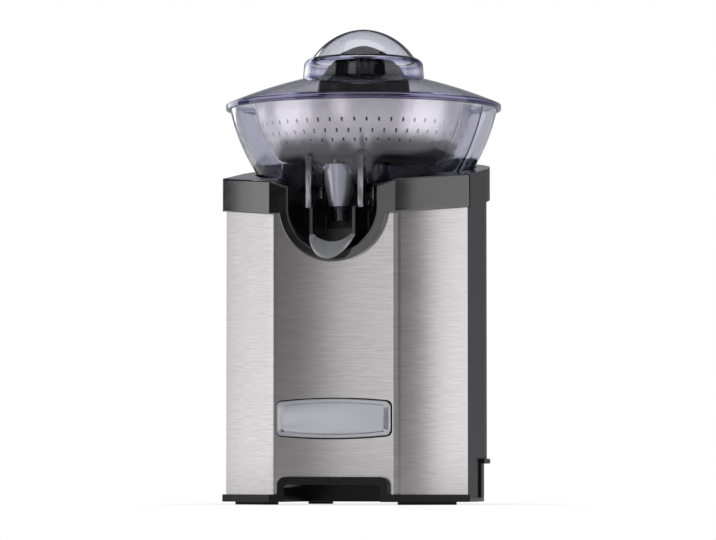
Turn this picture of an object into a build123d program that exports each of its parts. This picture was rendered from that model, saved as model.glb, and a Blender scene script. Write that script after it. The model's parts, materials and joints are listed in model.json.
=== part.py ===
from build123d import *
import math
import os

# Electric citrus juicer, millimetres. The drive axis is Z, the table is z = 0 and the spout faces -Y.

# Body plan: a round back, straight sides and three flat facets at the front
body_side = 88.0            # half-width, and radius of the round back
front_depth = 79.5          # axis to the steel front face
front_half = 45.0           # half-width of the middle facet
corner_depth = 47.5         # axis to the corner between an angled facet and the side
front_overhang = 5.5        # collar and base trim ahead of the steel
side_overhang = 2.4         # collar and base trim outside the sides
half_overhang = 0.6         # middle facet of the trim, wider than the steel's at each end
corner_overhang = 2.0       # side corner of the trim, further forward than the steel's
shell_wall = 2.5
panel_sheet = 1.0
panel_bend = 10.0           # outside radius of the steel's folds
seam = 0.7                  # open line between front and rear mouldings
touch = 0.1                 # gap under pieces that stand on each other and lift apart
slip = 0.3                  # gap between mouldings that plug together
run_gap = 0.06              # radial gap of running fits
fit_gap = 0.02              # radial gap of pressed and screwed fits

# Heights at the front
foot_height = 2.0
floor_sheet = 3.0
trim_height = 5.2
collar_low = 202.6
collar_height = 23.4
top_slope = 0.14            # rise of the collar towards the back
panel_tuck = 4.0            # steel hidden behind the collar

# Collar and spout notch
collar_wall = 2.4
collar_flange = 6.0
collar_skin = 2.0
notch_radius = 32.0
notch_band = 7.0            # width of the trim round the notch
notch_rise = 5.4            # centre of the notch's round above the collar's low edge
flare_drop = 4.5            # dip of the collar's top beside the notch
flare_back = -58.0          # where that dip runs out on the deck
well_step = 1.0             # well wider than the notch
well_wall = 2.2
well_back = -44.0           # inside of the well's back wall
well_drop = 8.0             # top of the well below the bowl's seat

# Deck and bowl seat
deck_sheet = 3.0
dish_rise = 17.4            # bowl's seat above the collar's low edge
dish_gap = 1.0              # room round the bowl in its seat
boss_radius = 10.0          # tube round the shaft
boss_height = 30.0
boss_bore = 5.2
seal_radius = 7.0
seal_height = 4.0

# Bowl
bowl_rim_radius = 96.0
bowl_floor_radius = 66.5
bowl_height = 61.6
bowl_bulge = 4.1            # arc of the wall, off its chord
bowl_wall = 2.5
bowl_corner = 6.0
bowl_foot = 2.0
bowl_foot_radius = 58.0
hub_bore = 11.5
hub_wall = 2.5
hub_height = 36.0
seat_height = 21.0          # strainer's seat above the bowl's underside
seat_radius = 19.0
rib_angles = (-12.0, 192.0, 52.0, 128.0)
rib_sheet = 1.6
rib_gap = 0.8
rib_drop = 2.5              # ribs end this far below the rim

# Spout under the bowl, heights from the bowl's underside
spout_y = -64.0
funnel_rise = 15.9
funnel_top_radius = 14.0
funnel_drop = 14.6
funnel_low_radius = 8.2
funnel_wall = 1.0
liner_sheet = 0.8
liner_gap = 0.1
nozzle_radius = 6.6
nozzle_wall = 1.5
nozzle_length = 9.0
cheek_inside = 16.9
cheek_sheet = 3.9
cheek_front = -79.0
cheek_back = -50.0
cheek_drop = 17.1
cheek_round = 5.0
pivot_y = -60.0
pivot_drop = 11.1
pivot_radius = 1.75
pivot_gap = 0.1

# Spout tongue, heights from its pivot
tongue_half = 16.4
tongue_wall = 2.0
tongue_front = -84.0
tongue_back = -50.0
tongue_drop = 30.0          # lowest point of the trough
tongue_sag = 6.5            # round of the trough's floor
tongue_rise = 4.0           # top of its sides
mouth_drop = 4.0            # top of its sides at the mouth
back_drop = 17.0            # top of its back wall
lip_reach = 14.0            # lip ahead of the mouth
lip_angle = 37.0            # lip's slope below level

# Strainer
strainer_rim_radius = 77.0
strainer_floor_radius = 58.0
strainer_depth = 42.5
strainer_bulge = 4.8
strainer_sheet = 0.9
strainer_corner = 6.0
strainer_hole = 15.0
strainer_neck = 6.0
strainer_lip = 2.0
slot_count = 54
slot_width = 1.3
slot_height = 2.8
slot_rows = (11.5, 18.0, 25.5)      # heights above the strainer's floor
floor_hole = 0.9
floor_rings = ((24.5, 18), (32.0, 27), (39.5, 27), (47.0, 36))     # radius and number of holes

# Reamer cone
cone_radius = 36.0
cone_waist_radius = 33.8
cone_waist = 44.0
cone_height = 80.0
cone_bulge = 8.0
cone_tip = 3.0
cone_skirt = 14.0
cone_wall = 2.2
flute_count = 10
flute_depth = 3.4
flute_rib = 4.0
socket_wall = 3.0
socket_gap = 0.2

# Lid
lid_wall = 2.2
lid_skirt_drop = 2.2        # skirt below the bowl's rim
lid_rim_height = 4.1
lid_seat_width = 3.5
lid_slope_bulge = 1.2
lid_neck_radius = 43.5
lid_neck_height = 11.0
lid_ring_radius = 42.6
lid_shoulder = 4.2
lid_shoulder_bulge = 1.0
lid_dome_radius = 36.8
lid_dome_rise = 21.0
dome_room = 10.1            # air over the cone's tip

# Drive shaft and press
press_travel = 3.0
press_room = 0.6            # cone above the strainer at the end of the press
shaft_radius = 4.0
shaft_tail = 2.2            # shaft below the gearbox
hex_flat = 10.0             # across the flats where the shaft slides in its gear
hex_gap = 0.06
hex_room = 0.5
head_flat = 11.6
head_rise = 14.0            # drive head above the deck's tube
head_length = 25.0
head_cap = 1.2

# Gears
pressure_angle = 25.0
backlash = 0.12             # taken off each tooth
dedendum = 1.25             # depth of a tooth below the pitch line, in modules
flank_steps = 4
module_in = 0.8
pinion_teeth = 14
wheel_teeth = 60
wheel_width = 7.0
pinion_spare = 1.0          # pinion wider than the wheel at each end
module_out = 1.25
small_teeth = 13
output_teeth = 54
output_width = 12.0
gear_room = 3.0             # air between gears that pass over each other
hub_radius = 9.0
hub_room = 7.0              # output gear's hub above the gearbox floor
hub_rise = 8.0              # hub above the output gear
motor_y = 30.0
pin_radius = 3.0
pin_seat = 8.0              # pin inside the cover's boss

# Gearbox, hung from the deck
mount_pad = 4.0
mount_height = 5.0
mount_radius = 6.0
mount_places = ((-27.0, -18.0), (27.0, -18.0), (-24.0, 36.0), (46.0, 24.0))
mount_screw_depth = 10.0
cover_depth = 26.0
tray_depth = 32.0
box_sheet = 3.0
box_wall = 2.2
box_room = 3.5              # air round the gears
boss_gap = 0.4              # gear hubs above the bosses that carry them
bush_radius = 7.0
bush_length = 8.0
bush_wall = 3.0
pin_boss = 7.0
screw_radius = 1.9
screw_head = 3.6
screw_head_height = 2.2
lug_radius = 5.0
lug_places = ((-36.0, -24.0), (36.0, -24.0), (-36.0, 36.0), (57.0, 48.0))
lug_screw_depth = 16.0

# Motor, hung from the gearbox
motor_standoff = 15.0
stator_half = 31.0
stator_corner = 4.0
stator_height = 28.0
rotor_radius = 16.8
air_gap = 0.6
rotor_inset = 1.0
motor_shaft_radius = 3.0
motor_shaft_tail = 2.0
shaft_room = 1.5            # motor shaft's end below the output gear
motor_bush_wall = 3.0
bracket_sheet = 3.0
bracket_drop = 14.0         # pillars between a bracket's plate and the stator
bracket_boss = 9.0
bracket_boss_height = 6.0
bolt_offset = 27.0
bolt_radius = 1.75
bolt_head = 3.2
bolt_head_height = 2.0
bolt_grip = 5.0             # bolt inside the gearbox floor and its boss
pillar_radius = 3.6
coil_inside = 15.0
coil_width = 7.5
coil_near = 19.0
coil_depth = 8.0
coil_end = 8.0
coil_gap = 0.4

# Switch under the shaft
switch_half = 3.2
switch_back = -30.3
switch_length = 20.0
switch_height = 10.2
lever_room = 2.3            # lever above the switch
tab_sheet = 2.6
tab_margin = 2.0
ear_sheet = 0.6
ear_length = 2.4
lever_half = 2.2
lever_sheet = 0.6
lever_gap = 0.4             # shaft's end above the lever
lever_block = 1.8
lever_hinge_y = -29.4
lever_tip_y = 4.0
lever_pin = 0.6
plunger_radius = 1.2
plunger_y = -22.5
plunger_gap = 0.4
plunger_length = 6.4
switch_screw_radius = 1.1
switch_screw_head = 2.0
switch_screw_ys = (-25.5, -15.5)
switch_screw_rise = 2.8
terminal_ys = (-27.0, -20.3, -13.6)
terminal_half = 1.6
terminal_sheet = 0.8
terminal_length = 6.5

# Return spring round the shaft
spring_radius = 6.3
spring_wire = 0.6
spring_turns = 4
ring_radius = 8.0
ring_height = 1.5

# Base, feet and cord wrap
tunnel_half = 34.6
tunnel_height = 14.2        # above the table
tunnel_depth = 60.0
tunnel_wall = 2.2
tunnel_corner = 3.0
arch_band = 5.2
upstand_height = 7.0
upstand_wall = 2.0
foot_half_length = 22.0
foot_half_width = 6.0
foot_inset = 10.0
rear_foot_radius = 9.0
rear_foot_place = 44.0
post_places = ((-62.0, -38.0), (62.0, -38.0), (-28.0, 70.0), (28.0, 70.0))
post_radius = 5.0
post_boss = 6.5
post_drop = 4.0             # top of the posts below the bowl's seat
post_pad = 4.0              # thickening of the base floor under a post
post_screw_radius = 2.0
post_screw_head = 3.8
post_screw_head_height = 2.6
post_screw_depth = 12.0
spigot_radius = 2.5
spigot_length = 6.0
channel_inset = 2.0         # cord drum inside the body's outline
channel_top = 29.0
lip_height = 3.4
lip_overhang = 2.4
channel_start = -18.0
lip_start = -7.0
guide_rib = 5.0
gland_height = 14.0
gland_bore = 3.6
gland_wall = 1.9
gland_flange = 7.5
gland_lip = 1.4

# Badge
badge_half = 41.0
badge_side = 11.5           # half-height at its ends
badge_middle = 13.7         # half-height at its middle
badge_corner = 4.0
badge_height = 60.0
badge_sheet = 2.2
badge_rim = 2.4
badge_pocket = 0.7

# Places worked out from the sizes above
trim_front = front_depth + front_overhang
trim_side = body_side + side_overhang
trim_half = front_half + half_overhang
trim_corner = corner_depth + corner_overhang
trim_top = foot_height + trim_height
floor_top = foot_height + floor_sheet
collar_top = collar_low + collar_height
notch_center = collar_low + notch_rise
well_half = notch_radius + well_step
dish_floor = collar_low + dish_rise
well_top = dish_floor - well_drop
boss_top = dish_floor + boss_height
bowl_low = dish_floor + touch + bowl_foot
bowl_rim = bowl_low + bowl_height
seat_top = bowl_low + seat_height
funnel_top = bowl_low + funnel_rise
funnel_low = bowl_low - funnel_drop
nozzle_low = funnel_low - nozzle_length
pivot_z = bowl_low - pivot_drop
tongue_low = pivot_z - tongue_drop
strainer_low = seat_top + touch
strainer_floor = strainer_low + strainer_sheet
strainer_rim = strainer_low + strainer_depth
cone_low = strainer_floor + press_travel + press_room
cone_top = cone_low + cone_height
lid_rim_radius = bowl_rim_radius + slip + lid_wall
lid_seat = bowl_rim + touch
lid_rim_low = bowl_rim - lid_skirt_drop
lid_rim_top = lid_rim_low + lid_rim_height
dome_top = cone_top + dome_room + lid_wall
dome_low = dome_top - lid_dome_rise
lid_ring = dome_low - lid_shoulder
neck_low = lid_ring - lid_neck_height
head_low = boss_top + head_rise
head_top = head_low + head_length
mount_top = dish_floor - deck_sheet - mount_pad
box_top = mount_top - mount_height
box_split = box_top - cover_depth
box_low = box_split - tray_depth
box_floor = box_low + box_sheet
wheel_low = box_floor + gear_room
pinion_low = wheel_low - pinion_spare
pinion_top = wheel_low + wheel_width + pinion_spare
output_low = wheel_low + wheel_width + gear_room
output_top = output_low + output_width
small_top = output_top + gear_room
hub_low = box_floor + hub_room
hub_top = output_top + hub_rise
pin_boss_low = small_top + gear_room
hex_low = hub_low + press_travel + hex_room
hex_top = hub_top - hex_room
shaft_low = box_low - shaft_tail
ring_top = box_top - bush_length - slip
ring_low = ring_top - ring_height
lever_top = shaft_low - lever_gap
lever_low = lever_top - lever_sheet
lever_hinge_z = lever_top - lever_block / 2
switch_top = lever_low - lever_room
switch_low = switch_top - switch_height
switch_front = switch_back + switch_length
upper_plate = box_low - motor_standoff
stator_top = upper_plate - bracket_sheet - bracket_drop
stator_low = stator_top - stator_height
lower_plate = stator_low - bracket_drop
motor_low = lower_plate - bracket_sheet
motor_shaft_low = motor_low - motor_shaft_tail
motor_shaft_top = output_low - shaft_room
post_top = dish_floor - post_drop
post_low = floor_top + post_pad
lip_top = channel_top + lip_height
pitch_in = module_in * (pinion_teeth + wheel_teeth) / 2
pitch_out = module_out * (small_teeth + output_teeth) / 2
pin_y = (pitch_out ** 2 - pitch_in ** 2 + motor_y ** 2) / (2 * motor_y)
pin_x = math.sqrt(pitch_out ** 2 - pin_y ** 2)
bolt_places = [(x, motor_y + y) for x in (-bolt_offset, bolt_offset) for y in (-bolt_offset, bolt_offset)]
reach = 5 * body_side
rising = (Align.CENTER, Align.CENTER, Align.MIN)


def rod(radius, low, top, x=0.0, y=0.0):
    return Pos(x, y, low) * Cylinder(radius, top - low, align=rising)


def tube(radius, bore, low, top, x=0.0, y=0.0):
    return rod(radius, low, top, x, y) - rod(bore, low, top, x, y)


def cross_rod(radius, left, right, y, z):
    return Pos(left, y, z) * Rot(0, 90, 0) * Cylinder(radius, right - left, align=rising)


def block(left, right, front, back, low, top):
    middle = Pos((left + right) / 2, (front + back) / 2, (low + top) / 2)
    return middle * Box(right - left, back - front, top - low)


def hex_rod(flat, low, top):
    return Pos(0, 0, low) * extrude(RegularPolygon(flat / 2, 6, major_radius=False), top - low)


def upright(outline, low, top):
    return Pos(0, 0, low) * extrude(outline, top - low)


def turned(outline):
    return revolve(Plane.XZ * outline, Axis.Z)


def bulged(start, end, bulge):
    # Arc that stands off its chord, to the right of the way from start to end
    run = (end[0] - start[0], end[1] - start[1])
    length = math.hypot(*run)
    middle = ((start[0] + end[0] + 2 * bulge * run[1] / length) / 2,
              (start[1] + end[1] - 2 * bulge * run[0] / length) / 2)
    return ThreePointArc(start, middle, end)


def mirrored_face(edges):
    # Closed face from edges that run from the axis round one side and back to the axis
    return make_face([*edges, *(mirror(edge, Plane.YZ) for edge in edges)])


def right_half(outline):
    return outline & (Pos(reach / 2, 0) * Rectangle(reach, 4 * reach))


def plan(front, half, side, corner):
    facets = Polyline((-side, 0), (-side, -corner), (-half, -front), (half, -front), (side, -corner),
                      (side, 0))
    return make_face([*facets.edges(), ThreePointArc((side, 0), (0, side), (-side, 0))])


def resized(outline, amount):
    return offset(outline, amount, kind=Kind.INTERSECTION)


def ring_of(outline, outside, inside):
    # Strip along an outline, between two offsets outwards from it
    outer = resized(outline, outside) if outside else outline
    return outer - resized(outline, inside)


def body_plan():
    return plan(front_depth, front_half, body_side, corner_depth)


def panel_plan():
    # Body plan with the steel's two soft folds
    outline = body_plan()
    return fillet(outline.vertices().group_by(Axis.Y)[0], panel_bend)


def trim_plan():
    return plan(trim_front, trim_half, trim_side, trim_corner)


def tilted_slab(low, top):
    # Space between two planes that rise towards the back, with their heights at the collar's front
    corners = [(y, height + top_slope * (y + trim_front)) for height, ys in
               ((low, (-reach, reach)), (top, (reach, -reach))) for y in ys]
    return extrude(Plane.YZ * make_face(Polyline(*corners, close=True)), reach, both=True)


def ahead_of(y):
    return block(-reach, reach, -reach, y, -reach, reach)


def behind(y):
    return block(-reach, reach, y, reach, -reach, reach)


def notch_block(radius, top, front, back):
    # U-shaped bar along Y: a half round with straight sides up to the given height
    sides = Polyline((-radius, notch_center), (-radius, top), (radius, top), (radius, notch_center))
    low = ThreePointArc((radius, notch_center), (0, notch_center - radius), (-radius, notch_center))
    return Pos(0, back, 0) * extrude(Plane.XZ * make_face([*sides.edges(), low]), back - front)


def flare_cut():
    # Dip beside the notch, cut along the collar's slope
    dip = collar_top - flare_drop
    above = collar_top + collar_height
    corners = [(-front_half, above), (-front_half, collar_top), (-notch_radius, dip)]
    corners += [(-x, z) for x, z in reversed(corners)]
    face = Pos(0, -trim_front, 0) * (Plane.XZ * make_face(Polyline(*corners, close=True)))
    return extrude(face, trim_front + flare_back, dir=(0, 1, top_slope))


def cup(rim_radius, rim, floor_radius, low, bulge, corner):
    # Solid of a round cup, carried straight up above its rim
    top = 2 * rim - low
    edge = (floor_radius, low)
    outline = make_face([Line((0, low), edge), bulged(edge, (rim_radius, rim), bulge),
                         Line((rim_radius, rim), (rim_radius, top)), Line((rim_radius, top), (0, top)),
                         Line((0, top), (0, low))])
    return turned(fillet(outline.vertices().sort_by_distance(edge)[0], corner))


def bowl_cup(gap):
    return cup(bowl_rim_radius + gap, bowl_rim, bowl_floor_radius + gap, bowl_low - gap, bowl_bulge,
               bowl_corner + gap)


def strainer_cup(gap):
    return cup(strainer_rim_radius + gap, strainer_rim, strainer_floor_radius + gap, strainer_low - gap,
               strainer_bulge, strainer_corner + gap)


def below(height):
    return block(-reach, reach, -reach, reach, 0, height)


def funnel_body(inset):
    low = funnel_low_radius - inset
    top = funnel_top_radius - inset
    return Pos(0, spout_y, funnel_low + inset) * Cone(low, top, funnel_top - funnel_low, align=rising)


def strainer_ribs():
    # Upright ribs inside the bowl's wall that keep the strainer central
    half = rib_sheet / 2
    span = block(strainer_floor_radius, bowl_rim_radius, -half, half, bowl_low, bowl_rim - rib_drop)
    room = bowl_cup(-bowl_wall / 2) - strainer_cup(rib_gap)
    return [Rot(0, 0, angle) * span & room for angle in rib_angles]


def make_bowl():
    spout = funnel_body(0) + rod(nozzle_radius, nozzle_low, funnel_low, 0, spout_y)
    for side in (-1, 1):
        middle = side * (cheek_inside + cheek_sheet / 2)
        cheek = block(middle - cheek_sheet / 2, middle + cheek_sheet / 2, cheek_front, cheek_back,
                      bowl_low - cheek_drop, bowl_rim)
        spout += fillet(cheek.edges().filter_by(Axis.X).group_by(Axis.Z)[0], cheek_round)
    foot = tube(bowl_foot_radius, bowl_foot_radius - bowl_wall, bowl_low - bowl_foot, bowl_low)
    foot -= notch_block(well_half + well_wall, bowl_rim, -reach, 0)
    bowl = (bowl_cup(0) + [spout, foot] & below(bowl_rim)) - bowl_cup(-bowl_wall)
    bowl += [rod(hub_bore + hub_wall, bowl_low, bowl_low + hub_height), rod(seat_radius, bowl_low, seat_top)]
    bowl += strainer_ribs()
    bowl -= [rod(hub_bore, 0, reach), funnel_body(funnel_wall)]
    bowl -= rod(nozzle_radius - nozzle_wall, nozzle_low, funnel_low + funnel_wall, 0, spout_y)
    return bowl - cross_rod(pivot_radius + pivot_gap, -reach, reach, pivot_y, pivot_z)


def make_spout_funnel():
    inset = funnel_wall + liner_gap
    liner = funnel_body(inset) - funnel_body(inset + liner_sheet)
    liner -= rod(nozzle_radius - nozzle_wall, nozzle_low, funnel_top, 0, spout_y)
    return (liner & below(funnel_top)) - bowl_cup(-bowl_wall)


def tongue_section(inset):
    # Trough seen from the front, open upwards
    half = tongue_half - inset
    low = tongue_low + inset
    edge = low + tongue_sag
    top = pivot_z + tongue_rise + inset
    sides = Polyline((-half, edge), (-half, top), (half, top), (half, edge))
    return make_face([*sides.edges(), ThreePointArc((half, edge), (0, low), (-half, edge))])


def make_spout_tongue():
    wall = tongue_section(0) - tongue_section(tongue_wall)
    length = tongue_back - tongue_front
    trough = Pos(0, tongue_back, 0) * extrude(Plane.XZ * wall, length)
    back = Pos(0, tongue_back, 0) * extrude(Plane.XZ * tongue_section(0), tongue_wall)
    trough += back & below(pivot_z - back_drop)
    top = pivot_z + tongue_rise
    slant = [(tongue_front, pivot_z - mouth_drop), (pivot_y - tongue_rise, top), (pivot_y, reach),
             (-reach, reach), (-reach, pivot_z - mouth_drop)]
    trough -= extrude(Plane.YZ * make_face(Polyline(*slant, close=True)), reach, both=True)
    gutter = wall & (Pos(0, tongue_low + tongue_sag / 2) * Rectangle(4 * tongue_half, tongue_sag))
    slope = math.radians(lip_angle)
    way = (0, -math.cos(slope), -math.sin(slope))
    face = Pos(0, tongue_front, 0) * (Plane.XZ * gutter)
    lip = extrude(face, 2 * lip_reach, dir=way)
    lip &= rod(tongue_half + slip, 0, reach, 0, tongue_front - lip_reach + tongue_half + slip)
    pins = [cross_rod(pivot_radius, side, side + cheek_inside + cheek_sheet - tongue_half, pivot_y, pivot_z)
            for side in (tongue_half, -cheek_inside - cheek_sheet)]
    return trough + [lip, *pins]


def make_strainer():
    basket = (strainer_cup(0) & below(strainer_rim)) - strainer_cup(-strainer_sheet)
    basket += tube(strainer_rim_radius + strainer_lip, strainer_rim_radius - strainer_sheet,
                   strainer_rim - strainer_sheet, strainer_rim)
    basket += rod(strainer_hole + strainer_sheet, strainer_low, strainer_floor + strainer_neck)
    basket -= rod(strainer_hole, 0, reach)
    cuts = []
    for row, height in enumerate(slot_rows):
        slot = block(strainer_floor_radius - strainer_corner, reach / 4, -slot_width / 2, slot_width / 2,
                     strainer_floor + height - slot_height / 2, strainer_floor + height + slot_height / 2)
        step = 360 / slot_count
        cuts += [Rot(0, 0, step * (index + row / 2)) * slot for index in range(slot_count)]
    for radius, count in floor_rings:
        hole = rod(floor_hole, strainer_low - strainer_sheet, strainer_floor + strainer_sheet, radius)
        cuts += [Rot(0, 0, 360 * index / count) * hole for index in range(count)]
    return basket - cuts


def cone_section(inset):
    low = (cone_radius - inset, cone_low)
    waist = (cone_waist_radius - inset, cone_low + cone_waist)
    tip = (cone_tip, cone_top - inset)
    return make_face([Line((0, cone_low), low), Line(low, waist), bulged(waist, tip, cone_bulge),
                      Line(tip, (0, tip[1])), Line((0, tip[1]), (0, cone_low))])


def make_reamer_cone():
    cone = turned(cone_section(flute_depth))
    cone += turned(cone_section(0)) & below(cone_low + cone_skirt)
    rib = extrude(Plane.XZ * cone_section(0), flute_rib / 2, both=True)
    cone += [Rot(0, 0, 360 * index / flute_count) * rib for index in range(flute_count)]
    hollow = turned(cone_section(flute_depth + cone_wall))
    socket = rod(head_flat / math.sqrt(3) + socket_wall, head_low, cone_top)
    cone -= hollow - socket
    return cone - hex_rod(head_flat + 2 * socket_gap, 0, head_top + touch)


def lid_dome():
    radius = (lid_dome_radius ** 2 + lid_dome_rise ** 2) / (2 * lid_dome_rise)
    half_angle = math.asin(lid_dome_radius / radius) / 2
    middle = (radius * math.sin(half_angle), dome_top - radius + radius * math.cos(half_angle))
    return ThreePointArc((0, dome_top), middle, (lid_dome_radius, dome_low))


def make_lid():
    low = lid_rim_low - 2 * lid_wall
    corners = [(lid_dome_radius, dome_low), (lid_ring_radius, lid_ring), (lid_neck_radius, neck_low),
               (lid_rim_radius, lid_rim_top), (lid_rim_radius, low), (0, low)]
    half = [lid_dome(), bulged(corners[1], corners[0], lid_shoulder_bulge), Line(corners[1], corners[2]),
            bulged(corners[3], corners[2], lid_slope_bulge), Line(corners[3], corners[4]),
            Line(corners[4], corners[5])]
    outline = mirrored_face(half)
    lid = turned(right_half(outline - offset(outline, -lid_wall)))
    rim_edges = [edge for edge in lid.edges().filter_by(GeomType.CIRCLE)
                 if abs(edge.radius - lid_rim_radius) < touch and abs(edge.center().Z - lid_rim_top) < touch]
    lid = fillet(rim_edges, lid_wall / 2)
    lid &= block(-reach, reach, -reach, reach, lid_rim_low, reach)
    seat = tube(lid_rim_radius - lid_wall / 2, bowl_rim_radius - lid_seat_width, lid_seat, lid_rim_top)
    return lid + (seat & turned(right_half(outline)))


def make_front_collar():
    outline = trim_plan()
    band = upright(ring_of(outline, 0, -collar_wall), 0, reach) & tilted_slab(collar_low, collar_top)
    flange = upright(ring_of(outline, 0, -collar_flange), 0, reach)
    collar = (band + (flange & tilted_slab(collar_top - collar_skin, collar_top))) & ahead_of(-trim_corner)
    collar += notch_block(notch_radius + notch_band, notch_center + notch_band, -trim_front, -front_depth)
    return collar - [notch_block(notch_radius, reach, -reach, 0), flare_cut()]


def make_top_deck():
    outline = trim_plan()
    split = -trim_corner + seam
    inside = resized(outline, -collar_flange - slip)
    top = tilted_slab(collar_top - deck_sheet, collar_top)
    deck = (upright(outline, 0, reach) & behind(split) & top) + (upright(inside, 0, reach) & top)
    band = upright(ring_of(outline, 0, slip - side_overhang), 0, reach)
    band &= tilted_slab(collar_low, collar_top)
    ledge = upright(ring_of(outline, 0, -side_overhang - shell_wall), 0, reach)
    deck += band & behind(split)
    deck += ledge & tilted_slab(collar_low, collar_low + deck_sheet) & behind(-corner_depth + seam)
    side = well_half + well_wall
    liner = upright(inside, well_top, reach) & block(-side, side, -reach, well_back + well_wall, 0, reach)
    dish = [bowl_cup(dish_gap + deck_sheet), rod(bowl_floor_radius, dish_floor - deck_sheet, bowl_low)]
    deck += [liner, *dish]
    deck += [rod(post_boss, post_top, reach, x, y) for x, y in post_places]
    deck += [rod(mount_radius, mount_top, dish_floor, x, y) for x, y in mount_places]
    deck &= tilted_slab(-reach, collar_top)
    deck -= [bowl_cup(dish_gap), rod(bowl_floor_radius - bowl_corner, dish_floor, bowl_low), flare_cut()]
    deck -= block(-well_half, well_half, -reach, well_back, 0, reach)
    deck += rod(boss_radius, dish_floor - deck_sheet, boss_top)
    deck -= [rod(boss_bore, 0, reach), rod(seal_radius, boss_top - seal_height, reach)]
    for x, y in mount_places:
        deck -= rod(screw_radius + fit_gap, 0, reach, x, y)
        deck -= rod(screw_head + slip, dish_floor - screw_head_height - slip, dish_floor, x, y)
    return deck + [rod(spigot_radius, post_top - spigot_length, post_top, x, y) for x, y in post_places]


def make_shaft_seal():
    return tube(seal_radius - fit_gap, shaft_radius + run_gap, boss_top - seal_height, boss_top)


def make_spout_well():
    outer = notch_block(well_half + well_wall, well_top, -front_depth, well_back + well_wall)
    return outer - notch_block(well_half, well_top, -reach, well_back)


def make_front_panel():
    panel = upright(ring_of(panel_plan(), 0, -panel_sheet), trim_top, reach) & ahead_of(-corner_depth)
    panel &= tilted_slab(-reach, collar_low + panel_tuck)
    panel -= notch_block(well_half + well_wall + slip, reach, -reach, 0)
    side = tunnel_half + tunnel_wall + slip
    return panel - block(-side, side, -reach, 0, 0, tunnel_height + tunnel_wall + slip)


def badge_face(inset):
    half, side, middle = badge_half - inset, badge_side - inset, badge_middle - inset
    ends = [Line((x, -side), (x, side)) for x in (-half, half)]
    arcs = [ThreePointArc((-half, sign * side), (0, sign * middle), (half, sign * side)) for sign in (-1, 1)]
    face = make_face([*ends, *arcs])
    return fillet(face.vertices(), badge_corner - inset / 2)


def make_badge_plate():
    plate = extrude(Plane.XZ * badge_face(0), badge_sheet)
    plate -= Pos(0, -badge_sheet + badge_pocket, 0) * extrude(Plane.XZ * badge_face(badge_rim), badge_pocket)
    return Pos(0, -front_depth, badge_height) * plate


def make_rear_cover():
    cover = upright(ring_of(body_plan(), 0, -shell_wall), floor_top, reach) & behind(-corner_depth + seam)
    cover &= tilted_slab(-reach, collar_low)
    return cover - block(-reach, reach, channel_start, reach, 0, lip_top)


def make_cord_wrap():
    inside = -channel_inset - shell_wall
    drum = upright(ring_of(body_plan(), -channel_inset, inside), floor_top, lip_top) & behind(channel_start)
    drum += upright(ring_of(body_plan(), lip_overhang, inside), channel_top, lip_top) & behind(lip_start)
    ribs = upright(ring_of(body_plan(), 0, inside), floor_top, channel_top)
    drum += ribs & block(-reach, reach, lip_start, lip_start + guide_rib, 0, reach)
    return drum - gland_rod(gland_bore + gland_wall + fit_gap, 0, reach)


def gland_rod(radius, front, back):
    return Pos(0, back, gland_height) * Rot(90, 0, 0) * Cylinder(radius, back - front, align=rising)


def make_cord_gland():
    drum = body_side - channel_inset
    sag = drum - math.sqrt(drum ** 2 - gland_flange ** 2)
    inner = drum - shell_wall - sag - touch
    gland = gland_rod(gland_bore + gland_wall, inner, drum)
    gland += gland_rod(gland_flange, drum, drum + gland_lip)
    gland += gland_rod(gland_flange, inner - gland_lip, inner)
    return gland - gland_rod(gland_bore, 0, reach)


def rounded_tunnel(half, top, corner, front, back, low):
    tunnel = block(-half, half, front, back, low, top)
    return fillet(tunnel.edges().filter_by(Axis.Y).group_by(Axis.Z)[-1], corner)


def make_base_tray():
    tray = upright(resized(body_plan(), -channel_inset), foot_height, floor_top)
    tray += upright(body_plan(), foot_height, floor_top) & ahead_of(channel_start)
    ledge = upright(trim_plan(), foot_height, trim_top) & ahead_of(-trim_corner)
    behind_panel = panel_sheet + slip
    tray += ledge - upright(resized(body_plan(), -behind_panel - upstand_wall), floor_top, reach)
    upstand = ring_of(resized(panel_plan(), -behind_panel), 0, -upstand_wall)
    tray += upright(upstand, floor_top, trim_top + upstand_height) & ahead_of(-corner_depth)
    arch = tunnel_half + arch_band
    tray += rounded_tunnel(arch, tunnel_height + arch_band, tunnel_corner + arch_band / 2, -trim_front,
                           -front_depth, foot_height)
    back = -trim_front + tunnel_depth
    tray += rounded_tunnel(tunnel_half + tunnel_wall, tunnel_height + tunnel_wall,
                           tunnel_corner + tunnel_wall, -front_depth, back + tunnel_wall, foot_height)
    tray -= rounded_tunnel(tunnel_half, tunnel_height, tunnel_corner, -reach, back, -reach)
    for x, y in post_places:
        tray += rod(post_boss, foot_height, post_low, x, y)
        tray -= rod(post_screw_radius + fit_gap, 0, post_low, x, y)
        tray -= rod(post_screw_head + slip, 0, foot_height + post_screw_head_height + slip, x, y)
    return tray


def make_tie_posts():
    posts = []
    for x, y in post_places:
        post = rod(post_radius, post_low, post_top, x, y)
        post -= rod(post_screw_radius + fit_gap, post_low, post_low + post_screw_depth + slip, x, y)
        posts.append(post - rod(spigot_radius + fit_gap, post_top - spigot_length - slip, post_top, x, y))
    return posts


def make_base_screws():
    seat = foot_height + post_screw_head_height + slip
    return [rod(post_screw_head, seat - post_screw_head_height, seat, x, y)
            + rod(post_screw_radius, seat, post_low + post_screw_depth, x, y) for x, y in post_places]


def make_feet():
    start = Vector(trim_half, -trim_front)
    facet = Vector(trim_side, -trim_corner) - start
    inward = Vector(-facet.Y, facet.X).normalized() * foot_inset
    middle = start + facet / 2 + inward
    pad = SlotOverall(2 * foot_half_length, 2 * foot_half_width, math.degrees(math.atan2(facet.Y, facet.X)))
    pad = upright(Pos(middle.X, middle.Y) * pad, 0, foot_height)
    rear = rod(rear_foot_radius, 0, foot_height, rear_foot_place, rear_foot_place)
    return [pad, mirror(pad, Plane.YZ), rear, mirror(rear, Plane.YZ)]


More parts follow.
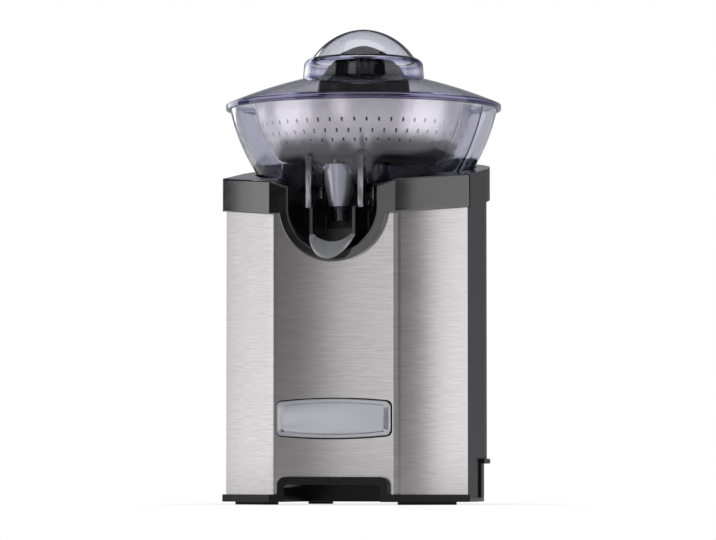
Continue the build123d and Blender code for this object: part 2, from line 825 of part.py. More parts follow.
def gear_face(teeth, module, toward):
    # Involute gear with a tooth on the way it points, in degrees
    pitch = module * teeth / 2
    slope = math.radians(pressure_angle)
    base = pitch * math.cos(slope)
    root = pitch - dedendum * module
    tip = pitch + module
    start = max(base, root)
    flank = [start + (tip - start) * step / flank_steps for step in range(flank_steps + 1)]
    if root < base:
        flank.insert(0, root)
    half_tooth = (math.pi * module / 2 - backlash) / (2 * pitch) + math.tan(slope) - slope

    def half_angle(radius):
        roll = math.acos(min(1.0, base / radius))
        return half_tooth - (math.tan(roll) - roll)

    points = []
    for tooth in range(teeth):
        middle = math.radians(toward) + 2 * math.pi * tooth / teeth
        turns = [(radius, middle - half_angle(radius)) for radius in flank]
        turns += [(radius, middle + half_angle(radius)) for radius in reversed(flank)]
        points += [(radius * math.cos(angle), radius * math.sin(angle)) for radius, angle in turns]
    return make_face(Polyline(*points, close=True))


def make_output_gear():
    toward = math.degrees(math.atan2(pin_y, pin_x))
    gear = upright(gear_face(output_teeth, module_out, toward), output_low, output_top)
    return gear + rod(hub_radius, hub_low, hub_top) - hex_rod(hex_flat + 2 * hex_gap, 0, reach)


def make_compound_gear():
    to_motor = math.degrees(math.atan2(motor_y - pin_y, -pin_x)) + 180 / wheel_teeth
    to_output = math.degrees(math.atan2(-pin_y, -pin_x)) + 180 / small_teeth
    wheel = upright(gear_face(wheel_teeth, module_in, to_motor), wheel_low, wheel_low + wheel_width)
    small = upright(gear_face(small_teeth, module_out, to_output), wheel_low + wheel_width, small_top)
    return Pos(pin_x, pin_y) * (wheel + small - rod(pin_radius + run_gap, 0, reach))


def make_compound_pin():
    return rod(pin_radius, box_low + box_sheet / 3, pin_boss_low + pin_seat, pin_x, pin_y)


def make_motor_pinion():
    toward = math.degrees(math.atan2(pin_y - motor_y, pin_x))
    pinion = upright(gear_face(pinion_teeth, module_in, toward), pinion_low, pinion_top)
    return Pos(0, motor_y) * (pinion - rod(motor_shaft_radius + fit_gap, 0, reach))


def box_outline():
    output_tip = module_out * (output_teeth / 2 + 1) + box_room
    wheel_tip = module_in * (wheel_teeth / 2 + 1) + box_room
    rounds = [(0, 0, output_tip), (pin_x, pin_y, wheel_tip)]
    rounds += [(x, y, lug_radius + box_wall / 2) for x, y in (*lug_places, *bolt_places)]
    return make_hull([(Pos(x, y) * Circle(radius)).edge() for x, y, radius in rounds])


def make_gearbox_base():
    outline = box_outline()
    base = upright(outline, box_low, box_floor) + upright(ring_of(outline, 0, -box_wall), box_low, box_split)
    base += [rod(lug_radius, box_low, box_split, x, y) for x, y in lug_places]
    base += rod(bush_radius + bush_wall, box_low, hub_low - boss_gap)
    base += rod(pin_boss, box_low, wheel_low - boss_gap, pin_x, pin_y)
    base += [rod(pillar_radius, box_low, box_low + bolt_grip + fit_gap, x, y) for x, y in bolt_places]
    base += block(switch_half, switch_half + tab_sheet, switch_back, switch_front, switch_low - tab_margin,
                  box_low)
    base -= [rod(bush_radius + fit_gap, 0, box_low + bush_length), rod(shaft_radius + slip, 0, reach)]
    base -= rod(pin_radius + fit_gap, box_low + box_sheet / 3, reach, pin_x, pin_y)
    base -= rod(bracket_boss, 0, box_floor, 0, motor_y)
    base -= [rod(bolt_radius + fit_gap, 0, box_low + bolt_grip + fit_gap, x, y) for x, y in bolt_places]
    hole_low = box_split - lug_screw_depth - slip
    base -= [rod(screw_radius + fit_gap, hole_low, box_split, x, y) for x, y in lug_places]
    return base - switch_screw_holes()


def make_gearbox_cover():
    outline = box_outline()
    cover = upright(outline, box_top - box_sheet, box_top)
    cover += upright(ring_of(outline, 0, -box_wall), box_split, box_top)
    cover += [rod(lug_radius, box_split, box_top, x, y) for x, y in lug_places]
    cover += rod(bush_radius + bush_wall, box_top - bush_length, box_top)
    cover += rod(pin_boss, pin_boss_low, box_top, pin_x, pin_y)
    cover += [rod(mount_radius, box_top - mount_screw_depth, box_top, x, y) for x, y in mount_places]
    cover -= rod(bush_radius + fit_gap, 0, reach)
    cover -= rod(pin_radius + fit_gap, 0, pin_boss_low + pin_seat, pin_x, pin_y)
    return cover - [rod(screw_radius + fit_gap, 0, reach, x, y) for x, y in (*lug_places, *mount_places)]


def make_shaft_bushes():
    lows = (box_low, box_top - bush_length)
    return [tube(bush_radius, shaft_radius + run_gap, low, low + bush_length) for low in lows]


def make_gearbox_screws():
    return [rod(screw_head, box_top, box_top + screw_head_height, x, y)
            + rod(screw_radius, box_split - lug_screw_depth, box_top, x, y) for x, y in lug_places]


def make_gearbox_mounts():
    return [tube(mount_radius, screw_radius + fit_gap, box_top, mount_top, x, y) for x, y in mount_places]


def make_mount_screws():
    seat = dish_floor - screw_head_height - slip
    return [rod(screw_head, seat, seat + screw_head_height, x, y)
            + rod(screw_radius, box_top - mount_screw_depth, seat, x, y) for x, y in mount_places]


def make_drive_shaft():
    shaft = rod(shaft_radius, shaft_low, head_top - head_cap - touch)
    return shaft + hex_rod(hex_flat, hex_low, hex_top)


def make_drive_head():
    return hex_rod(head_flat, head_low, head_top) - rod(shaft_radius + fit_gap, 0, head_top - head_cap)


def make_shaft_collar():
    return tube(ring_radius, shaft_radius + fit_gap, ring_low, ring_top)


def make_return_spring():
    low = hub_top + touch + spring_wire
    rise = ring_low - touch - spring_wire - low
    steps = 4 * spring_turns

    def point(step):
        angle = 2 * math.pi * spring_turns * step / steps
        height = low + rise * step / steps
        return Vector(spring_radius * math.cos(angle), spring_radius * math.sin(angle), height)

    def heading(step):
        angle = 2 * math.pi * spring_turns * step / steps
        turn = 2 * math.pi * spring_turns * spring_radius
        return Vector(-turn * math.sin(angle), turn * math.cos(angle), rise).normalized()

    path = []
    for step in range(steps):
        # Two arcs to each quarter turn, which meet on a shared tangent
        start, end = point(step), point(step + 1)
        leave, arrive = heading(step), heading(step + 1)
        chord, both = end - start, leave + arrive
        square = both.dot(both) - 4
        along = chord.dot(both)
        arm = (along - math.sqrt(along ** 2 - square * chord.dot(chord))) / square
        first, second = start + leave * arm, end - arrive * arm
        joint = (first + second) / 2
        path += [TangentArc(start, joint, tangent=leave), TangentArc(joint, end, tangent=second - first)]
    return sweep(Plane(path[0] @ 0, z_dir=path[0] % 0) * Circle(spring_wire), path=Wire(path))


def stator_outline():
    return RectangleRounded(2 * stator_half, 2 * stator_half, stator_corner)


def at_motor(shape):
    return Pos(0, motor_y) * shape


def coil_block(gap):
    # Legs and ends of one winding, grown by a gap where it passes through the iron
    side = coil_inside + coil_width
    near, far = coil_near - gap, coil_near + coil_depth + gap
    loop = block(-side - gap, side + gap, near, far, stator_low - coil_end, stator_top + coil_end)
    inside = coil_inside - gap
    return loop - block(-inside, inside, near, far, stator_low - coil_gap, stator_top + coil_gap)


def make_motor_coils():
    coil = coil_block(0)
    coil = fillet(coil.edges().filter_by(Axis.Y), coil_gap)
    return [at_motor(coil), at_motor(Rot(0, 0, 180) * coil)]


def make_motor_stator():
    core = upright(stator_outline(), stator_low, stator_top) - rod(rotor_radius + air_gap, 0, reach)
    core -= [coil_block(coil_gap), Rot(0, 0, 180) * coil_block(coil_gap)]
    core = at_motor(core)
    return core - [rod(bolt_radius + fit_gap, 0, reach, x, y) for x, y in bolt_places]


def make_motor_rotor():
    low, top = stator_low + rotor_inset, stator_top - rotor_inset
    return tube(rotor_radius, motor_shaft_radius + fit_gap, low, top, 0, motor_y)


def make_motor_shaft():
    return rod(motor_shaft_radius, motor_shaft_low, motor_shaft_top, 0, motor_y)


def make_motor_bracket(low, boss_low, pillars):
    bracket = at_motor(upright(stator_outline(), low, low + bracket_sheet))
    bracket += rod(bracket_boss, boss_low, boss_low + bracket_boss_height, 0, motor_y)
    bracket += [rod(pillar_radius, start, end, x, y) for start, end in pillars for x, y in bolt_places]
    bracket -= rod(motor_shaft_radius + motor_bush_wall + fit_gap, 0, reach, 0, motor_y)
    return bracket - [rod(bolt_radius + fit_gap, 0, reach, x, y) for x, y in bolt_places]


def make_motor_upper_bracket():
    low = upper_plate - bracket_sheet
    pillars = ((stator_top, low), (upper_plate, box_low))
    return make_motor_bracket(low, upper_plate - bracket_boss_height, pillars)


def make_motor_lower_bracket():
    return make_motor_bracket(motor_low, motor_low, ((lower_plate, stator_low),))


def make_motor_bushes():
    radius = motor_shaft_radius + motor_bush_wall
    return [tube(radius, motor_shaft_radius + run_gap, low, low + bracket_boss_height, 0, motor_y)
            for low in (motor_low, upper_plate - bracket_boss_height)]


def make_motor_bolts():
    return [rod(bolt_head, motor_low - bolt_head_height, motor_low, x, y)
            + rod(bolt_radius, motor_low, box_low + bolt_grip, x, y) for x, y in bolt_places]


def switch_screw_holes():
    radius = switch_screw_radius + fit_gap
    return [cross_rod(radius, -reach, reach, y, switch_low + switch_screw_rise) for y in switch_screw_ys]


def make_switch_body():
    body = block(-switch_half, switch_half, switch_back, switch_front, switch_low, switch_top)
    for side in (-switch_half, switch_half - ear_sheet):
        body += block(side, side + ear_sheet, switch_back, switch_back + ear_length, switch_top, lever_top)
    body -= cross_rod(lever_pin + run_gap, -reach, reach, lever_hinge_y, lever_hinge_z)
    well = rod(plunger_radius + run_gap, plunger_low() - press_travel, switch_top, 0, plunger_y)
    return body - [well, *switch_screw_holes()]


def make_switch_terminals():
    return [block(-terminal_sheet / 2, terminal_sheet / 2, y - terminal_half, y + terminal_half,
                  switch_low - terminal_length, switch_low) for y in terminal_ys]


def make_switch_lever():
    lever = block(-lever_half, lever_half, lever_hinge_y, lever_tip_y, lever_low, lever_top)
    end = block(-lever_half, lever_half, lever_hinge_y - lever_block / 2, lever_hinge_y + lever_block / 2,
                lever_top - lever_block, lever_top)
    return lever + [end, cross_rod(lever_pin, -switch_half, switch_half, lever_hinge_y, lever_hinge_z)]


def plunger_low():
    return lever_low - plunger_gap - plunger_length


def make_switch_plunger():
    return rod(plunger_radius, plunger_low(), lever_low - plunger_gap, 0, plunger_y)


def make_switch_screws():
    z = switch_low + switch_screw_rise
    end = switch_half + tab_sheet
    return [cross_rod(switch_screw_head, -switch_half - switch_screw_radius, -switch_half, y, z)
            + cross_rod(switch_screw_radius, -switch_half, end, y, z) for y in switch_screw_ys]


pieces = {
    "lid": make_lid,
    "reamer_cone": make_reamer_cone,
    "strainer": make_strainer,
    "bowl": make_bowl,
    "spout_funnel": make_spout_funnel,
    "spout_tongue": make_spout_tongue,
    "front_collar": make_front_collar,
    "top_deck": make_top_deck,
    "shaft_seal": make_shaft_seal,
    "spout_well": make_spout_well,
    "front_panel": make_front_panel,
    "badge_plate": make_badge_plate,
    "rear_cover": make_rear_cover,
    "cord_wrap": make_cord_wrap,
    "cord_gland": make_cord_gland,
    "base_tray": make_base_tray,
    "tie_posts": make_tie_posts,
    "base_screws": make_base_screws,
    "feet": make_feet,
    "output_gear": make_output_gear,
    "compound_gear": make_compound_gear,
    "compound_pin": make_compound_pin,
    "motor_pinion": make_motor_pinion,
    "gearbox_base": make_gearbox_base,
    "gearbox_cover": make_gearbox_cover,
    "shaft_bushes": make_shaft_bushes,
    "gearbox_screws": make_gearbox_screws,
    "gearbox_mounts": make_gearbox_mounts,
    "mount_screws": make_mount_screws,
    "drive_shaft": make_drive_shaft,
    "drive_head": make_drive_head,
    "shaft_collar": make_shaft_collar,
    "return_spring": make_return_spring,
    "motor_coils": make_motor_coils,
    "motor_stator": make_motor_stator,
    "motor_rotor": make_motor_rotor,
    "motor_shaft": make_motor_shaft,
    "motor_upper_bracket": make_motor_upper_bracket,
    "motor_lower_bracket": make_motor_lower_bracket,
    "motor_bushes": make_motor_bushes,
    "motor_bolts": make_motor_bolts,
    "switch_body": make_switch_body,
    "switch_terminals": make_switch_terminals,
    "switch_lever": make_switch_lever,
    "switch_plunger": make_switch_plunger,
    "switch_screws": make_switch_screws,
}

os.makedirs("parts", exist_ok=True)
for name, make in pieces.items():
    piece = make()
    if isinstance(piece, list):
        piece = Compound(children=piece)
    export_step(piece, f"parts/{name}.step")
    size = piece.bounding_box().size
    solids = len(piece.solids())
    print(f"{name}: {solids} solid, {size.X:.1f} x {size.Y:.1f} x {size.Z:.1f}, {piece.volume:.0f} mm3")
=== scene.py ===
import json
import math
import bmesh
import bpy
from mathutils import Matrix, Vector


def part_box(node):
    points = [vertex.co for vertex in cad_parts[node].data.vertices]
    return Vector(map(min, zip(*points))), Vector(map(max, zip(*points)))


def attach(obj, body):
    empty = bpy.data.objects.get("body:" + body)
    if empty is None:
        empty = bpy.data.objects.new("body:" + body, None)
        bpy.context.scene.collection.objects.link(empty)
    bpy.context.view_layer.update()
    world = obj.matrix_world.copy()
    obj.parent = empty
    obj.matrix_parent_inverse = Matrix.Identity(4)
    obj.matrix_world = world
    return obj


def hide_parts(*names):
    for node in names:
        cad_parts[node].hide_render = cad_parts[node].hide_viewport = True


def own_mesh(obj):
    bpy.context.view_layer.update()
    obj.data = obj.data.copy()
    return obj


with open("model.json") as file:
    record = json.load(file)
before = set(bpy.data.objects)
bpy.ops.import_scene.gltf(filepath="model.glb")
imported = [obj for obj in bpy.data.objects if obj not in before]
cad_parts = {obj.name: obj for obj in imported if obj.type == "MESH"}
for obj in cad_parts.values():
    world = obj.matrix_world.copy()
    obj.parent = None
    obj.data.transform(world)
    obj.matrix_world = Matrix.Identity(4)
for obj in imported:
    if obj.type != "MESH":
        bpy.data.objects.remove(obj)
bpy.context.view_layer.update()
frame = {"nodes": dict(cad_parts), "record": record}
nodes = frame["nodes"]
mm = 0.001
sanIor, absIor = 1.57, 1.53
noiseSpan = (0.2, 0.8)      # nearly all of a noise lies between these
wholeSpan = (0.0, 1.0)
print("frame loaded:", len(nodes), "nodes")


def linearColor(code):
    values = [int(code[at:at + 2], 16) / 255 for at in (1, 3, 5)]
    return tuple(v / 12.92 if v <= 0.04045 else ((v + 0.055) / 1.055) ** 2.4 for v in values) + (1.0,)


def addNode(tree, kind, settings=None, links=None):
    node = tree.nodes.new(kind)
    for key, value in (settings or {}).items():
        if isinstance(key, int) or key in node.inputs:
            node.inputs[key].default_value = value
        else:
            setattr(node, key, value)
    for key, socket in (links or {}).items():
        tree.links.new(socket, node.inputs[key])
    return node


def startMaterial(name, settings):
    material = bpy.data.materials.new(name)
    material.use_nodes = True
    tree = material.node_tree
    tree.nodes.clear()
    shader = addNode(tree, "ShaderNodeBsdfPrincipled", settings)
    addNode(tree, "ShaderNodeOutputMaterial", links={"Surface": shader.outputs["BSDF"]})
    return material, tree, shader


def grainField(tree, cellMm, detail=3.0):
    # noise whose cells measure cellMm along X, Y and Z
    place = addNode(tree, "ShaderNodeTexCoord")
    sized = addNode(tree, "ShaderNodeMapping", {"Scale": tuple(1 / (size * mm) for size in cellMm)},
                    {"Vector": place.outputs["Object"]})
    return addNode(tree, "ShaderNodeTexNoise", {"Scale": 1.0, "Detail": detail},
                   {"Vector": sized.outputs["Vector"]}).outputs["Fac"]


def dressSurface(tree, shader, paint, rough=None, relief=None, span=(0.3, 0.7)):
    # colour, roughness and relief, each from its own field; span is where a field goes from dark to light
    field, dark, light = paint
    ramp = addNode(tree, "ShaderNodeValToRGB", links={"Fac": field})
    for element, place, code in zip(ramp.color_ramp.elements, span, (dark, light)):
        element.position = place
        element.color = linearColor(code)
    tree.links.new(ramp.outputs["Color"], shader.inputs["Base Color"])
    if rough:
        field, low, high = rough
        spread = addNode(tree, "ShaderNodeMapRange",
                         {"interpolation_type": "SMOOTHSTEP", "From Min": noiseSpan[0],
                          "From Max": noiseSpan[1], "To Min": low, "To Max": high}, {"Value": field})
        tree.links.new(spread.outputs["Result"], shader.inputs["Roughness"])
    if relief:
        field, depthMm, strength = relief
        bump = addNode(tree, "ShaderNodeBump", {"Strength": strength, "Distance": depthMm * mm},
                       {"Height": field})
        tree.links.new(bump.outputs["Normal"], shader.inputs["Normal"])


def brushedSheet(name, dark, light, roughness, lineMm):
    # stainless sheet, belt-brushed sideways: level hair lines that smear highlights up and down
    strokeMm, cloudMm, patchy = 12.0, (60.0, 60.0, 25.0), 0.008
    material, tree, shader = startMaterial(name, {"Metallic": 1.0, "Anisotropic": 0.7,
                                                  "Anisotropic Rotation": 0.25})
    lines = grainField(tree, (strokeMm, strokeMm, lineMm), 4.0)      # coarser than the real 0.1 mm so they show
    clouds = grainField(tree, cloudMm, 1.0)
    dressSurface(tree, shader, (lines, dark, light), (clouds, roughness - patchy, roughness + patchy),
                 (lines, 0.01, 0.04), span=(0.25, 0.75))
    tangent = addNode(tree, "ShaderNodeTangent", {"direction_type": "RADIAL", "axis": "Z"})
    tree.links.new(tangent.outputs["Tangent"], shader.inputs["Tangent"])
    return material


def pressedSteel(name, dark, light, roughness):
    # deep-drawn stainless, polished on a lathe: soft sheen with faint rings
    ringMm, cloudMm, patchy = (60.0, 60.0, 1.2), (22.0, 22.0, 14.0), 0.02
    material, tree, shader = startMaterial(name, {"Metallic": 1.0, "Anisotropic": 0.6,
                                                  "Anisotropic Rotation": 0.25})
    rings = grainField(tree, ringMm, 2.0)      # coarser than the real 0.2 mm so they show
    clouds = grainField(tree, cloudMm, 2.0)
    dressSurface(tree, shader, (clouds, dark, light), (rings, roughness - patchy, roughness + patchy))
    tangent = addNode(tree, "ShaderNodeTangent", {"direction_type": "RADIAL", "axis": "Z"})
    tree.links.new(tangent.outputs["Tangent"], shader.inputs["Tangent"])
    return material


def clearMoulding(name, tint, rim, edge, density):
    # SAN, polished mould: clear with a lavender cast that gathers into violet along the rims
    flowMm = (40.0, 40.0, 25.0)
    material, tree, shader = startMaterial(name, {"Transmission Weight": 1.0, "IOR": sanIor})
    flow = grainField(tree, flowMm, 2.0)
    rims = addNode(tree, "ShaderNodeAttribute", {"attribute_name": "rimTint"})
    dressSurface(tree, shader, (rims.outputs["Fac"], tint, rim), (flow, 0.01, 0.035), (flow, 0.05, 0.05),
                 span=wholeSpan)
    depth = addNode(tree, "ShaderNodeVolumeAbsorption", {"Color": linearColor(edge), "Density": density})
    output = next(node for node in tree.nodes if node.bl_idname == "ShaderNodeOutputMaterial")
    tree.links.new(depth.outputs["Volume"], output.inputs["Volume"])
    return material


def paintedGlowEnds(name, dark, light, form):
    # SAN, cut ends of thick walls: the light they pipe out is painted on, opaque, in milky streaks that fade
    # upwards into grey
    material, tree, shader = startMaterial(name, {"IOR": sanIor})
    grain = grainField(tree, form["streakMm"], 1.0)
    place = addNode(tree, "ShaderNodeTexCoord")
    axes = addNode(tree, "ShaderNodeSeparateXYZ", links={0: place.outputs["Object"]})
    lower = addNode(tree, "ShaderNodeMapRange",
                    {"From Min": form["high"] * mm, "From Max": form["fadeLow"] * mm},
                    {"Value": axes.outputs["Z"]})
    streaks = addNode(tree, "ShaderNodeMapRange", form["streaks"], {"Value": grain})
    share = addNode(tree, "ShaderNodeMath", {"operation": "MULTIPLY"},
                    {0: lower.outputs[0], 1: streaks.outputs[0]})
    dressSurface(tree, shader, (share.outputs[0], dark, light), (grain, 0.1, 0.2), span=wholeSpan)
    return material


def mouldedPlastic(name, dark, light, roughness, grainMm, depthMm, strength, shine=0.0):
    # ABS, rubber or nylon from a steel mould: even colour, with the mould's spark-eroded or polished skin
    # shine adds a clear top coat above 0 and takes gloss away below 0
    cloudMm, patchy = 35.0, 0.04
    material, tree, shader = startMaterial(name, {"IOR": absIor, "Coat Weight": max(0.0, shine),
                                                  "Coat Roughness": roughness * 0.9,
                                                  "Specular IOR Level": 0.5 + 0.4 * shine})
    grain = grainField(tree, (grainMm,) * 3)      # coarser than a mould's real 0.1 to 0.3 mm so it shows
    clouds = grainField(tree, (cloudMm,) * 3, 2.0)
    dressSurface(tree, shader, (clouds, dark, light), (grain, roughness - patchy, roughness + patchy),
                 (grain, depthMm, strength))
    return material


def topGlossPlastic(name, side, top, roughness, polished, grainMm):
    # grained outside, polished on the faces that look up: a soft grey band under a black mirror-like deck
    level = {"From Min": 0.9, "From Max": 0.96}      # polish starts 26 degrees from level and is full at 16
    material, tree, shader = startMaterial(name, {"IOR": absIor, "Specular IOR Level": 0.3})
    grain = grainField(tree, (grainMm,) * 3)      # coarser than the real 0.2 mm so it shows
    place = addNode(tree, "ShaderNodeTexCoord")
    facing = addNode(tree, "ShaderNodeSeparateXYZ", links={0: place.outputs["Normal"]})
    upward = addNode(tree, "ShaderNodeMapRange", level, {"Value": facing.outputs["Z"]})
    dressSurface(tree, shader, (upward.outputs[0], side, top), relief=(grain, 0.03, 0.12), span=wholeSpan)
    matt = addNode(tree, "ShaderNodeMapRange", {"To Min": roughness, "To Max": polished},
                   {"Value": upward.outputs[0]})
    tree.links.new(matt.outputs[0], shader.inputs["Roughness"])
    return material


def lipSheenPlastic(name, inside, sheen, form):
    # black ABS, with the reflection on its lip painted pale silver-grey from the mouth to the tip of the lip: a
    # pale crescent under a dark trough
    material, tree, shader = startMaterial(name, {"IOR": absIor, "Coat Weight": 0.4, "Coat Roughness": 0.06})
    place = addNode(tree, "ShaderNodeTexCoord")
    along = addNode(tree, "ShaderNodeSeparateXYZ", links={0: place.outputs["Object"]})
    mouth, mouthEdge = form["mouth"] * mm, form["mouthEdge"] * mm
    lipTop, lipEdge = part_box("spout_tongue")[0][2] + form["lipHigh"] * mm, form["lipEdge"] * mm
    forward = addNode(tree, "ShaderNodeMapRange",
                      {"From Min": mouth + mouthEdge, "From Max": mouth - mouthEdge},
                      {"Value": along.outputs["Y"]})
    # above the lip's top only a faint share of the painted reflection stays
    lower = addNode(tree, "ShaderNodeMapRange",
                    {"From Min": lipTop + lipEdge, "From Max": lipTop - lipEdge, "To Min": form["sheenSpill"]},
                    {"Value": along.outputs["Z"]})
    sheened = addNode(tree, "ShaderNodeMath", {"operation": "MULTIPLY"},
                      {0: forward.outputs[0], 1: lower.outputs[0]})
    # coarser than the real 0.05 mm so they show
    speckle = grainField(tree, (form["speckleMm"],) * 3)      # a fine speckle in the roughness and relief under the painted sheen
    dressSurface(tree, shader, (sheened.outputs[0], inside, sheen), (speckle, 0.26, 0.34), (speckle, 0.01, 0.05),
                 span=wholeSpan)
    return material


def shadowLinedPlate(name, dark, light, roughness, outline, shadowFlangeFront):
    # nickel-plated casting: satin silver inside a fine dark outline, the shadow of the gap round it painted on
    # its back flange
    cloudMm, patchy = (22.0, 22.0, 14.0), 0.03
    material, tree, shader = startMaterial(name, {"Metallic": 1.0})
    clouds = grainField(tree, cloudMm, 2.0)
    dressSurface(tree, shader, (clouds, dark, light), (clouds, roughness - patchy, roughness + patchy))
    place = addNode(tree, "ShaderNodeTexCoord")
    depth = addNode(tree, "ShaderNodeSeparateXYZ", links={0: place.outputs["Object"]})
    # the back flange is painted near-black as the shadow round the plate
    shadowFlange = addNode(tree, "ShaderNodeMath", {"operation": "GREATER_THAN", 1: shadowFlangeFront},
                   {0: depth.outputs["Y"]})
    silver = shader.inputs["Base Color"].links[0].from_socket
    shown = addNode(tree, "ShaderNodeMix", {"data_type": "RGBA", 7: linearColor(outline)},
                    {0: shadowFlange.outputs[0], 6: silver})
    tree.links.new(shown.outputs[2], shader.inputs["Base Color"])
    return material


def machinedMetal(name, dark, light, roughness, lineMm):
    # turned, drawn or cast metal: faint tool lines round the axis and a patchy tone
    strokeMm, patchy = 9.0, 0.06
    material, tree, shader = startMaterial(name, {"Metallic": 1.0})
    lines = grainField(tree, (strokeMm, strokeMm, lineMm))      # coarser than real tool lines so they show
    dressSurface(tree, shader, (lines, dark, light), (lines, roughness - patchy, roughness + patchy),
                 (lines, 0.02, 0.1))
    return material


# the tongue's painted lip reflection: where it starts along Y, and its height above the tongue's lowest point
tongueLipSheen = {"mouth": -83.0, "mouthEdge": 0.5, "lipHigh": 17.5, "lipEdge": 0.4, "sheenSpill": 0.12,
             "speckleMm": 0.8}
badgeShadowFlangeMm = 0.35      # from the back of the badge to just over its back flange, which is painted dark as a shadow line

finishes = {
    "clear_plastic": clearMoulding("clearSanPolished", "#F6F6F9", "#5A4F90", "#A9A4D6", 45.0),
    "black_gloss_plastic": mouldedPlastic("glossBlackAbs", "#060607", "#09090B", 0.12, 9.0, 0.01, 0.02, 1.0),
    "grey_plastic": topGlossPlastic("grainedGreyPolypropylene", "#292728", "#0B0B0D", 0.42, 0.08, 0.6),
    # the tongue's pale lip is a painted reflection on black ABS
    "silver_plastic": lipSheenPlastic("blackAbsPaintedLipSheen", "#060607", "#BEBFC4", tongueLipSheen),
    "black_plastic": mouldedPlastic("satinBlackAbs", "#07070A", "#0B0B0E", 0.28, 0.8, 0.03, 0.08, -0.5),
    "brushed_steel": brushedSheet("brushedStainlessSheet", "#BAB6B7", "#D1CECF", 0.2, 0.45),
    "polished_steel": pressedSteel("spunStainless", "#E6E2DE", "#F0EDE9", 0.3),
    # 08080A is the painted shadow line round the badge
    "badge_metal": shadowLinedPlate("satinNickelPlate", "#C4C6CD", "#CED0D6", 0.3, "#08080A",
                               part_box("badge_plate")[1][1] - badgeShadowFlangeMm * mm),
    "rubber": mouldedPlastic("mattRubber", "#1A1A1A", "#242424", 0.8, 0.5, 0.06, 0.3),
    "nylon": mouldedPlastic("mouldedNylon", "#DAD5C6", "#E6E2D6", 0.45, 1.5, 0.02, 0.1),
    "box_plastic": mouldedPlastic("glassFilledNylon", "#8E8D88", "#A1A09A", 0.55, 0.7, 0.05, 0.2),
    "turned_steel": machinedMetal("turnedSteel", "#9A9A9C", "#C2C2C4", 0.3, 0.4),
    "bronze": machinedMetal("sinteredBronze", "#8A6A38", "#B08C50", 0.42, 0.6),
    "copper_wire": machinedMetal("enamelledCopperWinding", "#7A3418", "#B8663A", 0.32, 0.6),
    "lamination_steel": machinedMetal("stackedLaminations", "#55565A", "#8B8C90", 0.45, 0.5),
    "zinc": machinedMetal("castZinc", "#8C8D90", "#A6A7AA", 0.5, 2.0),
    "switch_plastic": mouldedPlastic("mouldedPhenolic", "#222226", "#2D2D32", 0.5, 0.9, 0.03, 0.15),
}
print("finishes made:", len(finishes))

slotOf = {entry["node"]: entry["material_slot"] for entry in frame["record"]["subparts"]}
bodyOf = {node: body for body, members in frame["record"]["behaviour"]["bodies"].items() for node in members}
for node, piece in nodes.items():
    piece.data.materials.clear()
    piece.data.materials.append(finishes[slotOf[node]])


def placePiece(piece, node, finish=None):
    # gives a new piece its node's body and place in the record, and the node's finish or its own
    piece.data.materials.clear()
    piece.data.materials.append(finish or finishes[slotOf[node]])
    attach(piece, bodyOf[node])
    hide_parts(node)
    return piece


def newObject(name, mesh):
    piece = bpy.data.objects.new(name, mesh)
    bpy.context.scene.collection.objects.link(piece)
    return piece


def smoothMesh(mesh, sharpDeg):
    for face in mesh.polygons:
        face.use_smooth = True
    mesh.set_sharp_from_angle(angle=math.radians(sharpDeg))


def arcPoints(start, end, bulge, count):
    # points of an arc after its start, standing off its chord to the right of the way it runs
    run = Vector(end) - Vector(start)
    side = Vector((run.y, -run.x)).normalized()
    if abs(bulge) < 1e-6:
        return [tuple(Vector(start) + run * step / count) for step in range(1, count + 1)]
    radius = (run.length ** 2 / 4 + bulge ** 2) / (2 * abs(bulge))
    middle = (Vector(start) + Vector(end)) / 2 + side * (bulge - math.copysign(radius, bulge))
    first = math.atan2(start[1] - middle.y, start[0] - middle.x)
    last = math.atan2(end[1] - middle.y, end[0] - middle.x)
    sweep = (last - first + math.pi) % (2 * math.pi) - math.pi
    turns = [first + sweep * step / count for step in range(1, count + 1)]
    return [(middle.x + radius * math.cos(turn), middle.y + radius * math.sin(turn)) for turn in turns]


def arcChain(start, *runs):
    # points from a start through a row of arcs, each given by its end, bulge and number of steps
    points = [start]
    for end, bulge, count in runs:
        points += arcPoints(points[-1], end, bulge, count)
    return points


def lathe(name, outline, segments, turnDeg=0.0):
    # turns a (radius, height) outline in mm about the drive axis
    work = bmesh.new()
    rings = []
    for radius, height in outline:
        if radius < 1e-4:
            rings.append([work.verts.new((0, 0, height * mm))] * segments)
            continue
        turns = [2 * math.pi * step / segments + math.radians(turnDeg) for step in range(segments)]
        spots = [(radius * mm * math.cos(turn), radius * mm * math.sin(turn), height * mm) for turn in turns]
        rings.append([work.verts.new(spot) for spot in spots])
    for low, high in zip(rings, rings[1:]):
        for step in range(segments):
            corners = [low[step], low[step - 1], high[step - 1], high[step]]
            corners = [corner for at, corner in enumerate(corners) if corner not in corners[:at]]
            if len(corners) > 2:
                work.faces.new(corners)
    bmesh.ops.recalc_face_normals(work, faces=work.faces)
    mesh = bpy.data.meshes.new(name)
    work.to_mesh(mesh)
    work.free()
    return mesh


def evenFaces(piece):
    # large faces keep their own direction, so only the edge rounds shade
    weights = piece.modifiers.new("evenFaces", "WEIGHTED_NORMAL")
    weights.weight = 100
    weights.keep_sharp = True


def bakedPiece(piece, addModifiers):
    addModifiers(piece)
    baked = bpy.data.meshes.new_from_object(piece.evaluated_get(bpy.context.evaluated_depsgraph_get()))
    baked.name = piece.name
    piece.modifiers.clear()
    piece.data = baked
    return piece


def nodesModifier(piece, tree, inputs):
    # inputs are keyed by their sockets' identifiers
    modifier = piece.modifiers.new(tree.name, "NODES")
    modifier.node_group = tree
    for key, value in inputs.items():
        modifier[key] = value


copySetup = {"mergeMm": 0.002, "flatDeg": 0.6, "roundedDeg": 40.0, "sharpDeg": 32.0}


